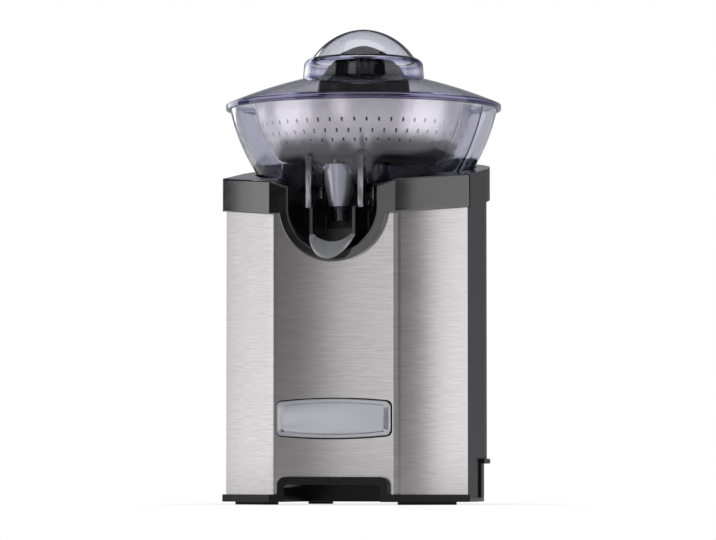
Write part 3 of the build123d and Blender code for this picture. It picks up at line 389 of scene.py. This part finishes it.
def dressedCopy(node, name, bevelMm=0.0, fullRounds=False, setup=copySetup):
    # merged copy of a solid, with the small edge rounds that its mould leaves
    mesh = nodes[node].data.copy()
    mesh.name = name
    if "custom_normal" in mesh.attributes:
        mesh.attributes.remove(mesh.attributes["custom_normal"])
    work = bmesh.new()
    work.from_mesh(mesh)
    bmesh.ops.remove_doubles(work, verts=work.verts, dist=setup["mergeMm"] * mm)
    bmesh.ops.dissolve_limit(work, angle_limit=math.radians(setup["flatDeg"]), verts=work.verts,
                             edges=work.edges)
    if bevelMm:
        edges = [edge for edge in work.edges if len(edge.link_faces) == 2
                 and edge.calc_face_angle(0) > math.radians(setup["roundedDeg"])]
        bmesh.ops.bevel(work, geom=edges, offset=bevelMm * mm, segments=3 if fullRounds else 2, profile=0.5,
                        affect="EDGES", clamp_overlap=not fullRounds)
    work.to_mesh(mesh)
    work.free()
    smoothMesh(mesh, setup["sharpDeg"])
    return bakedPiece(newObject(name, mesh), evenFaces)


def tintRims(mesh, rims):
    # marks how far each point lies into the violet of a rim, given as radius, height and reach in mm
    tint = mesh.attributes.new("rimTint", "FLOAT", "POINT")
    for vertex in mesh.vertices:
        radius, height = vertex.co.xy.length / mm, vertex.co.z / mm
        near = [1 - math.hypot(radius - rimRadius, height - rimHeight) / reach
                for rimRadius, rimHeight, reach in rims]
        tint.data[vertex.index].value = max(0.0, *near)


def startTree(name, sizes, finish):
    # a tree with named sizes and a finish, and where each point lies about the drive axis
    tree = bpy.data.node_groups.new(name, "GeometryNodeTree")
    tree.interface.new_socket("Geometry", in_out="INPUT", socket_type="NodeSocketGeometry")
    inputs = {}
    for size, value in sizes.items():
        socket = tree.interface.new_socket(size, in_out="INPUT", socket_type="NodeSocketFloat")
        inputs[socket.identifier] = value
    look = tree.interface.new_socket("Finish", in_out="INPUT", socket_type="NodeSocketMaterial")
    inputs[look.identifier] = finish
    tree.interface.new_socket("Geometry", in_out="OUTPUT", socket_type="NodeSocketGeometry")
    given = addNode(tree, "NodeGroupInput").outputs
    where = addNode(tree, "GeometryNodeInputPosition")
    axes = addNode(tree, "ShaderNodeSeparateXYZ", links={0: where.outputs[0]})
    angle = addNode(tree, "ShaderNodeMath", {"operation": "ARCTAN2"},
                    {0: axes.outputs["Y"], 1: axes.outputs["X"]})
    flat = addNode(tree, "ShaderNodeVectorMath", {"operation": "MULTIPLY", 1: (1, 1, 0)},
                   {0: where.outputs[0]})
    reach = addNode(tree, "ShaderNodeVectorMath", {"operation": "LENGTH"}, {0: flat.outputs[0]})
    about = {"angle": angle.outputs[0], "flat": flat.outputs[0], "reach": reach.outputs["Value"],
             "height": axes.outputs["Z"]}
    return tree, inputs, given, about


def endTree(tree, given, geometry):
    real = addNode(tree, "GeometryNodeRealizeInstances", links={0: geometry})
    dressed = addNode(tree, "GeometryNodeSetMaterial",
                      links={"Geometry": real.outputs[0], "Material": given["Finish"]})
    addNode(tree, "NodeGroupOutput", links={0: dressed.outputs[0]})


# radii and heights; a Drop is how much lower the inside turns, a Reach how far a rim's violet goes
lidForm = {"top": 340.0, "domeBulge": 5.2, "innerDomeBulge": 5.0, "domeWall": 1.5,
           "dome": 36.8, "domeLow": 319.0, "domeDrop": 1.4, "shoulderBulge": 1.0, "innerShoulderBulge": 0.8,
           "ring": 42.6, "ringLow": 314.8, "ringDrop": 0.8, "ringTintUp": 0.5, "ringReach": 5.0,
           "neck": 43.5, "neckLow": 303.8, "neckDrop": 1.2, "neckReach": 4.5,
           "slopeBulge": 1.2, "innerSlopeBulge": 1.1, "slopeEndUp": 0.3, "wall": 2.2,
           "rim": 98.5, "rimTop": 285.6, "rimLow": 281.5, "rimRound": 1.1, "rimRoundUp": 0.2,
           "rimRoundDrop": 1.0, "rimBulge": 0.4, "rimReach": 9.0, "footBevel": 0.4,
           "seat": 92.5, "seatLow": 283.8, "seatDrop": 0.2, "segments": 160, "sharpDeg": 40}


def makeLid(form):
    wall, domeWall, bevel = form["wall"], form["domeWall"], form["footBevel"]
    rim, rimTop, rimLow, seat = form["rim"], form["rimTop"], form["rimLow"], form["seat"]
    dome, ring, neck = [(form[turn], form[turn + "Low"]) for turn in ("dome", "ring", "neck")]
    slopeEnd = rim - form["rimRound"]
    outer = arcChain((0.0, form["top"]), (dome, -form["domeBulge"], 22), (ring, -form["shoulderBulge"], 6),
                     (neck, 0.0, 3), ((slopeEnd, rimTop + form["slopeEndUp"]), -form["slopeBulge"], 12))
    outer += arcPoints((slopeEnd, rimTop + form["rimRoundUp"]), (rim, rimTop - form["rimRoundDrop"]),
                       -form["rimBulge"], 5)
    outer += [(rim, rimLow + bevel), (rim - bevel, rimLow), (rim - wall, rimLow)]
    innerNeck = (neck[0] - wall, neck[1] - form["neckDrop"])
    innerRing = (ring[0] - wall, ring[1] - form["ringDrop"])
    innerDome = (dome[0] - domeWall, dome[1] - form["domeDrop"])
    inner = [(rim - wall, form["seatLow"]), (seat, form["seatLow"])]
    inner += arcChain((seat, rimTop - form["seatDrop"]), (innerNeck, form["innerSlopeBulge"], 12),
                      (innerRing, 0.0, 3), (innerDome, form["innerShoulderBulge"], 6),
                      ((0.0, form["top"] - domeWall), form["innerDomeBulge"], 22))
    mesh = lathe("lidClear", outer + inner, form["segments"])
    smoothMesh(mesh, form["sharpDeg"])
    tintRims(mesh, [(rim, (rimTop + rimLow) / 2, form["rimReach"]),
                    (ring[0], ring[1] + form["ringTintUp"], form["ringReach"]),
                    (neck[0], neck[1], form["neckReach"])])
    return placePiece(newObject("lidClear", mesh), "lid")


# a floor ring is radius, number of holes and columns per hole; the lip's points stand off the rim's top
strainerForm = {"rim": 77.0, "rimTop": 285.7, "floor": 58.0, "floorFlat": 52.5, "low": 243.2, "bulge": 4.8,
                "sheet": 0.9, "shownSheet": 0.855, "inset": 0.4, "wallLow": 0.5, "wallDrop": 1.4,
                "cornerHigh": 5.0, "cornerBulge": 1.2, "cornerStep": 0.8, "plainSteps": (4.0, 8.0),
                "rimStep": 2.4, "hole": 15.4, "neckTop": 250.1, "neckRound": (1.2, 2.0), "columns": 324,
                "slots": 54, "slotHigh": 2.8, "rows": (255.6, 262.1, 269.6), "holeHalf": 0.85,
                "floorRings": ((24.5, 18, 4), (32.0, 27, 3), (39.5, 27, 2), (47.0, 36, 2)),
                "lipPoints": ((-0.2, -1.2), (0.4, -0.5), (1.8, -0.45)), "sharpDeg": 50}


def strainerWall(form, count):
    # outline of the drawn wall from the floor's corner to the rim
    start = (form["floor"] - form["inset"], form["low"] + form["wallLow"])
    end = (form["rim"] - form["inset"], form["rimTop"] - form["wallDrop"])
    return arcPoints(start, end, form["bulge"], count)


def wallRadius(form, height):
    return min(strainerWall(form, 400), key=lambda point: abs(point[1] - height))[0]


def perforate(form):
    # deletes the faces that lie in a slot or a hole, by angle round the axis and by height or radius;
    # each row of slots is turned half a slot from the one below
    sizes = {"Slot half height": form["slotHigh"] / 2 * mm, "Hole half width": form["holeHalf"] * mm}
    tree, inputs, given, about = startTree("strainerPerforations", sizes, finishes["polished_steel"])
    bands = [(about["height"], height, given["Slot half height"], form["slots"], 1, row / 2)
             for row, height in enumerate(form["rows"])]
    bands += [(about["reach"], radius, given["Hole half width"], count, wide, 0.0)
              for radius, count, wide in form["floorRings"]]
    chosen = None
    for along, middle, room, count, wide, shift in bands:
        turns = addNode(tree, "ShaderNodeMath",
                        {"operation": "MULTIPLY_ADD", 1: count / (2 * math.pi), 2: -shift},
                        {0: about["angle"]})
        wave = addNode(tree, "ShaderNodeMath", {"operation": "PINGPONG", 1: 0.5}, {0: turns.outputs[0]})
        openShare = 0.5 * wide * count / form["columns"]
        cut = addNode(tree, "FunctionNodeCompare",
                      {"data_type": "FLOAT", "operation": "LESS_THAN", 1: openShare}, {0: wave.outputs[0]})
        off = addNode(tree, "ShaderNodeMath", {"operation": "SUBTRACT", 1: middle * mm}, {0: along})
        away = addNode(tree, "ShaderNodeMath", {"operation": "ABSOLUTE"}, {0: off.outputs[0]})
        near = addNode(tree, "FunctionNodeCompare", {"data_type": "FLOAT", "operation": "LESS_THAN"},
                       {0: away.outputs[0], 1: room})
        both = addNode(tree, "FunctionNodeBooleanMath", {"operation": "AND"},
                       {0: cut.outputs[0], 1: near.outputs[0]})
        chosen = both if chosen is None else addNode(tree, "FunctionNodeBooleanMath", {"operation": "OR"},
                                                     {0: chosen.outputs[0], 1: both.outputs[0]})
    kept = addNode(tree, "GeometryNodeDeleteGeometry", {"domain": "FACE"},
                   {"Geometry": given["Geometry"], "Selection": chosen.outputs[0]})
    endTree(tree, given, kept.outputs[0])
    return tree, inputs


def makeStrainer(form):
    low, hole, rim, rimTop = form["low"], form["hole"], form["rim"], form["rimTop"]
    middle = low + form["sheet"] / 2
    roundWide, roundHigh = form["neckRound"]
    outline = [(hole, form["neckTop"]), (hole, low + roundHigh), (hole + roundWide, middle)]
    for ring in form["floorRings"]:
        outline += [(ring[0] - form["holeHalf"], middle), (ring[0] + form["holeHalf"], middle)]
    wallStart = next(point for point in strainerWall(form, 60) if point[1] > low + form["cornerHigh"])
    outline += arcChain((form["floorFlat"], middle), (wallStart, form["cornerBulge"], 5))
    edges = sorted(height + side * form["slotHigh"] / 2 for height in form["rows"] for side in (-1, 1))
    heights = [wallStart[1] + form["cornerStep"]] + edges
    heights += [edges[-1] + step for step in form["plainSteps"]] + [rimTop - form["rimStep"]]
    outline += [(wallRadius(form, height), height) for height in heights]
    outline += [(rim + out, rimTop + up) for out, up in form["lipPoints"]]
    mesh = lathe("strainerBasket", outline, form["columns"], -180 / form["columns"])
    piece = newObject("strainerBasket", mesh)
    tree, inputs = perforate(form)

    def punchAndThicken(target):
        nodesModifier(target, tree, inputs)
        sheet = target.modifiers.new("sheet", "SOLIDIFY")
        sheet.thickness = form["shownSheet"] * mm
        sheet.offset = 0.0

    bakedPiece(piece, punchAndThicken)
    smoothMesh(piece.data, form["sharpDeg"])
    return placePiece(piece, "strainer")


# the hollow is given by radius and height above the base, from the socket's wall to the foot
coneForm = {"base": 36.0, "low": 247.7, "footRound": 0.8, "waist": 33.8, "waistHigh": 44.0, "high": 80.0,
            "bulge": 8.0, "tip": 3.0, "tipFlat": 1.4, "skirt": 14.0, "ribs": 10, "ribWide": 4.0,
            "ribRound": 0.8, "flute": 3.3, "flank": 3.0, "rise": 3.0, "tipFade": 9.0,
            "socketLow": 264.0, "socketTop": 289.1, "socketFlat": 12.0,
            "hollow": ((9.6, 68.0), (17.6, 66.0), (27.6, 44.0), (30.2, 20.0), (30.4, 0.0)),
            "segments": 360, "sharpDeg": 45}


def fluteSkin(form, finish):
    # presses the skin inwards between the ribs, from the skirt to the tip
    sizes = {"Rib count": form["ribs"], "Rib width": form["ribWide"] * mm, "Flute depth": form["flute"] * mm,
             "Skirt top": (form["low"] + form["skirt"]) * mm}
    tree, inputs, given, about = startTree("reamerFlutes", sizes, finish)
    outward = addNode(tree, "ShaderNodeVectorMath", {"operation": "NORMALIZE"}, {0: about["flat"]})
    part = addNode(tree, "ShaderNodeMath", {"operation": "DIVIDE", 1: 2 * math.pi}, {0: about["angle"]})
    turns = addNode(tree, "ShaderNodeMath", {"operation": "MULTIPLY"},
                    {0: part.outputs[0], 1: given["Rib count"]})
    wave = addNode(tree, "ShaderNodeMath", {"operation": "PINGPONG", 1: 0.5}, {0: turns.outputs[0]})
    girth = addNode(tree, "ShaderNodeMath", {"operation": "MULTIPLY", 1: 2 * math.pi}, {0: about["reach"]})
    pitch = addNode(tree, "ShaderNodeMath", {"operation": "DIVIDE"},
                    {0: girth.outputs[0], 1: given["Rib count"]})
    aside = addNode(tree, "ShaderNodeMath", {"operation": "MULTIPLY"},
                    {0: wave.outputs[0], 1: pitch.outputs[0]})
    start = addNode(tree, "ShaderNodeMath", {"operation": "MULTIPLY_ADD", 1: 0.5, 2: -form["ribRound"] * mm},
                    {0: given["Rib width"]})
    end = addNode(tree, "ShaderNodeMath", {"operation": "ADD", 1: form["flank"] * mm}, {0: start.outputs[0]})
    side = addNode(tree, "ShaderNodeMapRange", {"interpolation_type": "SMOOTHSTEP"},
                   {"Value": aside.outputs[0], "From Min": start.outputs[0], "From Max": end.outputs[0]})
    over = addNode(tree, "ShaderNodeMath", {"operation": "SUBTRACT"},
                   {0: about["height"], 1: given["Skirt top"]})
    rise = addNode(tree, "ShaderNodeMapRange", {"From Max": form["rise"] * mm}, {"Value": over.outputs[0]})
    tip = addNode(tree, "ShaderNodeMapRange", {"From Max": form["tipFade"] * mm}, {"Value": about["reach"]})
    skin = addNode(tree, "GeometryNodeInputNamedAttribute", {"Name": "skin"})
    dip = given["Flute depth"]
    for share in (side.outputs[0], rise.outputs[0], tip.outputs[0], skin.outputs["Attribute"]):
        dip = addNode(tree, "ShaderNodeMath", {"operation": "MULTIPLY"}, {0: dip, 1: share}).outputs[0]
    inward = addNode(tree, "ShaderNodeMath", {"operation": "MULTIPLY", 1: -1.0}, {0: dip})
    shift = addNode(tree, "ShaderNodeVectorMath", {"operation": "SCALE"},
                    {0: outward.outputs[0], "Scale": inward.outputs[0]})
    moved = addNode(tree, "GeometryNodeSetPosition",
                    links={"Geometry": given["Geometry"], "Offset": shift.outputs[0]})
    endTree(tree, given, moved.outputs[0])
    return tree, inputs


def makeCone(form):
    base, low, top = form["base"], form["low"], form["low"] + form["high"]
    waist = (form["waist"], low + form["waistHigh"])
    flatHalf, foot = form["socketFlat"] / 2, form["footRound"]
    hollow = [(radius, low + height) for radius, height in form["hollow"]]
    inside = [(0.0, form["socketTop"]), (flatHalf, form["socketTop"]), (flatHalf, form["socketLow"]),
              (hollow[0][0], form["socketLow"])] + hollow
    skin = [(base - foot, low), (base, low + foot)] + arcPoints((base, low), waist, 0.0, 22)[1:]
    skin += arcPoints(waist, (form["tip"], top), form["bulge"], 34) + [(form["tipFlat"], top), (0.0, top)]
    mesh = lathe("reamerRibbed", inside + skin, form["segments"])
    for vertex in mesh.vertices:
        if abs(vertex.co.xy.length - flatHalf * mm) < 1e-6:        # the socket's six flats
            turn = math.atan2(vertex.co.y, vertex.co.x)
            vertex.co.xy /= math.cos((turn + math.pi / 6) % (math.pi / 3) - math.pi / 6)
    ribbed = mesh.attributes.new("skin", "FLOAT", "POINT")
    firstSkin = 1 + (len(inside) - 1) * form["segments"]
    for vertex in mesh.vertices:
        ribbed.data[vertex.index].value = float(vertex.index >= firstSkin)
    piece = newObject("reamerRibbed", mesh)
    finish = mouldedPlastic("polishedBlackAbs", "#030304", "#060607", 0.2, 5.0, 0.02, 0.05, -0.6)
    tree, inputs = fluteSkin(form, finish)
    bakedPiece(piece, lambda target: nodesModifier(target, tree, inputs))
    smoothMesh(piece.data, form["sharpDeg"])
    return placePiece(piece, "reamer_cone", finish)


badgeForm = {"half": 41.0, "side": 11.5, "middle": 13.7, "corner": 4.0, "rim": 2.4, "pocket": 0.7,
             "shadowFlange": 0.8, "shadowFlangeHigh": 0.3, "edge": 0.4, "endSlope": 2.0, "sideSlope": 0.5, "height": 60.0,
             "sharpDeg": 20}


def badgeOutline(form, insetX, insetZ):
    # outline in mm, set in by its own amount at the ends and at the long sides
    half, side = form["half"] - insetX, form["side"] - insetZ
    crown, corner = form["middle"] - form["side"], form["corner"] - (insetX + insetZ) / 4
    quarter = [(x, side + crown * (1 - (x / half) ** 2))
               for x in [(half - corner) * step / 12 for step in range(13)]]
    low = quarter[-1][1] - corner
    quarter += [(half - corner + corner * math.sin(turn), low + corner * math.cos(turn))
                for turn in [math.pi / 2 * step / 6 for step in range(1, 7)]]
    rest = quarter[1:]
    return (quarter + [(x, -z) for x, z in reversed(quarter)] + [(-x, -z) for x, z in rest]
            + [(-x, z) for x, z in reversed(rest)])


def makeBadge(form):
    low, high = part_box("badge_plate")
    front, back = low[1] / mm, high[1] / mm
    shadowFlange, edge, rim = form["shadowFlange"], form["edge"], form["rim"]
    # the first two layers make the back flange, painted dark as the badge's shadow line
    layers = [(-shadowFlange, -shadowFlange, back), (-shadowFlange, -shadowFlange, back - form["shadowFlangeHigh"]), (0, 0, back - form["shadowFlangeHigh"]),
              (0, 0, front + edge), (edge, edge, front), (rim, rim, front),
              (rim + form["endSlope"], rim + form["sideSlope"], front + form["pocket"])]
    work = bmesh.new()
    rings = [[work.verts.new((x * mm, y * mm, (form["height"] + z) * mm))
              for x, z in badgeOutline(form, insetX, insetZ)] for insetX, insetZ, y in layers]
    for below, above in zip(rings, rings[1:]):
        for step in range(len(below)):
            work.faces.new((below[step - 1], below[step], above[step], above[step - 1]))
    work.faces.new(rings[0])
    work.faces.new(rings[-1])
    bmesh.ops.recalc_face_normals(work, faces=work.faces)
    mesh = bpy.data.meshes.new("badgeBare")
    work.to_mesh(mesh)
    work.free()
    smoothMesh(mesh, form["sharpDeg"])
    return placePiece(newObject("badgeBare", mesh), "badge_plate")


lid = makeLid(lidForm)
makeStrainer(strainerForm)
makeCone(coneForm)
makeBadge(badgeForm)
print("lid, strainer, cone and badge made")

# edge rounds in mm, 0 where the solid's own edges are right
edgeRounds = {"bowl": 0.5, "spout_funnel": 0.0, "spout_tongue": 0.35, "front_collar": 1.2, "top_deck": 0.8,
              "spout_well": 0.0, "rear_cover": 0.4, "cord_wrap": 0.4, "base_tray": 0.4, "feet": 0.3,
              "cord_gland": 0.3, "front_panel": 0.0}
fullRounds = ("front_collar", "bowl")
ownFinishes = {
    "bowl": clearMoulding("clearSanThickWalled", "#ECECF1", "#5A4F90", "#A5A4C0", 95.0),
    "spout_funnel": pressedSteel("satinNickelFunnel", "#C6C6CE", "#D0D0D8", 0.5),
}
copies = {}
for node, bevelMm in edgeRounds.items():
    piece = dressedCopy(node, node + "Dressed", bevelMm, node in fullRounds)
    copies[node] = placePiece(piece, node, ownFinishes.get(node))

# the front ends of the bowl's two cheeks, where a glow of piped light is painted on
cheekGlow = {"inside": 16.0, "front": -78.0, "high": 236.0, "fadeLow": 221.0, "streakMm": (1.6, 6.0, 14.0),
             "streaks": {"From Min": 0.4, "From Max": 0.55, "To Min": 0.3}}
bowlMesh = copies["bowl"].data
# the pale streaks on the cheek ends are a painted glow, fading to painted grey upwards
bowlMesh.materials.append(paintedGlowEnds("clearSanPaintedGlow", "#62626C", "#F6F6FC", cheekGlow))
for face in bowlMesh.polygons:
    x, y, z = face.center / mm
    onEnd = abs(x) > cheekGlow["inside"] and y < cheekGlow["front"] and z < cheekGlow["high"]
    face.material_index = int(onEnd)
for piece in (lid, copies["bowl"]):
    piece.visible_shadow = False      # clear walls cast no shadow

# the return spring: a dressed copy with a mesh of its own; its joint and travel are listed but not used
springSetup = {"node": "return_spring", "joint": "shaft_press", "travelMm": 3.0}
spring = placePiece(dressedCopy(springSetup["node"], "returnSpringWound"), springSetup["node"])
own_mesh(spring)

# a long lens from a little right of the front, just above the table
cameraSetup = {"place": (0.7592, -2.8234, 0.0175), "turnDeg": 15.129, "pitchRad": 0.0512, "lens": 205.75,
               "sensor": 36.0, "farEnd": 50.0}
camera = bpy.data.objects.new("camera", bpy.data.cameras.new("camera"))
bpy.context.scene.collection.objects.link(camera)
camera.location = cameraSetup["place"]
camera.rotation_euler = (math.pi / 2 + cameraSetup["pitchRad"], 0, math.radians(cameraSetup["turnDeg"]))
camera.data.sensor_width = cameraSetup["sensor"]
camera.data.lens = cameraSetup["lens"]
camera.data.clip_end = cameraSetup["farEnd"]
bpy.context.scene.camera = camera

# each box: middle, the point that it faces, width and height, and how bright its cloth looks
softboxes = {
    "leftBox": {"place": (-0.45, -0.285, 0.2), "aim": (0.0, -0.285, 0.2), "size": (0.5, 0.8), "level": 1.1},
    "rightBox": {"place": (0.4335, -0.0399, 0.2), "aim": (0.1785, 0.1181, 0.2), "size": (0.4216, 0.8),
                 "level": 1.12},
    "frontBox": {"place": (-0.075, -0.6, 0.2), "aim": (-0.075, 0.0, 0.2), "size": (0.15, 0.8), "level": 0.75},
    "fillBox": {"place": (0.3, -1.4, 0.5), "aim": (0.0, 0.0, 0.2), "size": (1.2, 0.9), "level": 0.2},
    "rearBox": {"place": (-1.2, 0.9, 0.6), "aim": (0.0, 0.0, 0.2), "size": (0.8, 0.8), "level": 1.6},
    "topBox": {"place": (0.0, -0.05, 1.3), "aim": (0.0, 0.0, 0.2), "size": (0.9, 0.7), "level": 0.9},
}
for name, setup in softboxes.items():
    lamp = bpy.data.lights.new(name, "AREA")
    lamp.shape = "RECTANGLE"
    lamp.size, lamp.size_y = setup["size"]
    lamp.energy = setup["level"] * math.pi * lamp.size * lamp.size_y
    holder = bpy.data.objects.new(name, lamp)
    bpy.context.scene.collection.objects.link(holder)
    holder.location = setup["place"]
    facing = Vector(setup["aim"]) - holder.location
    holder.rotation_euler = facing.to_track_quat("-Z", "Y").to_euler()
    holder.visible_camera = False

# white paper: the camera sees it white, a little darker where the object stands, and mirrors see it dimmer
paperSetup = {"half": 30.0, "tone": "#F2F2F2", "mirrored": 0.45,
              "standing": {"From Min": 0.06, "From Max": 0.18, "To Min": 0.75, "To Max": 1.0}}
half = paperSetup["half"]
floorMesh = bpy.data.meshes.new("floor")
corners = [(-half, -half, 0), (half, -half, 0), (half, half, 0), (-half, half, 0)]
floorMesh.from_pydata(corners, [], [(0, 1, 2, 3)])
floor = newObject("floor", floorMesh)
paper = bpy.data.materials.new("whiteStudioPaper")
paper.use_nodes = True
paperTree = paper.node_tree
paperTree.nodes.clear()
matt = addNode(paperTree, "ShaderNodeBsdfDiffuse", {"Color": linearColor(paperSetup["tone"])})
glow = addNode(paperTree, "ShaderNodeEmission", {"Color": (1, 1, 1, 1), "Strength": 1.0})
ray = addNode(paperTree, "ShaderNodeLightPath")
spot = addNode(paperTree, "ShaderNodeTexCoord")
span = addNode(paperTree, "ShaderNodeVectorMath", {"operation": "LENGTH"}, {0: spot.outputs["Object"]})
fade = addNode(paperTree, "ShaderNodeMapRange", paperSetup["standing"], {"Value": span.outputs["Value"]})
bounced = addNode(paperTree, "ShaderNodeMath", {"operation": "ADD"},
                  {0: ray.outputs["Is Glossy Ray"], 1: ray.outputs["Is Transmission Ray"]})
direct = addNode(paperTree, "ShaderNodeMath", {"operation": "MULTIPLY_ADD", 1: paperSetup["mirrored"]},
                 {0: bounced.outputs[0], 2: ray.outputs["Is Camera Ray"]})
seen = addNode(paperTree, "ShaderNodeMath", {"operation": "MULTIPLY"},
               {0: direct.outputs[0], 1: fade.outputs[0]})
blend = addNode(paperTree, "ShaderNodeMixShader",
                links={0: seen.outputs[0], 1: matt.outputs[0], 2: glow.outputs[0]})
addNode(paperTree, "ShaderNodeOutputMaterial", links={"Surface": blend.outputs[0]})
floorMesh.materials.append(paper)

# the camera sees white paper, and the object a pale wall behind it and a dim studio in front
studioSetup = {"tone": "#E6E7F2",
               "behind": {"From Min": 0.1, "From Max": 0.95, "To Min": 0.06, "To Max": 0.5},
               "above": {"From Min": 0.12, "From Max": 0.4, "To Min": 1.0, "To Max": 0.1}}
world = bpy.data.worlds.new("studio")
world.use_nodes = True
bpy.context.scene.world = world
sky = world.node_tree
sky.nodes.clear()
ways = addNode(sky, "ShaderNodeTexCoord")
split = addNode(sky, "ShaderNodeSeparateXYZ", links={0: ways.outputs["Generated"]})
behind = addNode(sky, "ShaderNodeMapRange", studioSetup["behind"], {"Value": split.outputs["Y"]})
above = addNode(sky, "ShaderNodeMapRange", studioSetup["above"], {"Value": split.outputs["Z"]})
level = addNode(sky, "ShaderNodeMath", {"operation": "MULTIPLY"}, {0: behind.outputs[0], 1: above.outputs[0]})
path = addNode(sky, "ShaderNodeLightPath")
studio = addNode(sky, "ShaderNodeBackground", {"Color": linearColor(studioSetup["tone"])},
                 {"Strength": level.outputs[0]})
white = addNode(sky, "ShaderNodeBackground", {"Color": (1, 1, 1, 1), "Strength": 1.0})
plain = addNode(sky, "ShaderNodeMath", {"operation": "LESS_THAN", 1: 0.5}, {0: path.outputs["Glossy Depth"]})
through = addNode(sky, "ShaderNodeMath", {"operation": "MULTIPLY_ADD"},
                  {0: path.outputs["Is Transmission Ray"], 1: plain.outputs[0],
                   2: path.outputs["Is Camera Ray"]})
shown = addNode(sky, "ShaderNodeMixShader",
                links={0: through.outputs[0], 1: studio.outputs[0], 2: white.outputs[0]})
addNode(sky, "ShaderNodeOutputWorld", links={"Surface": shown.outputs[0]})

bpy.context.scene.view_settings.view_transform = "Standard"
print("studio set")
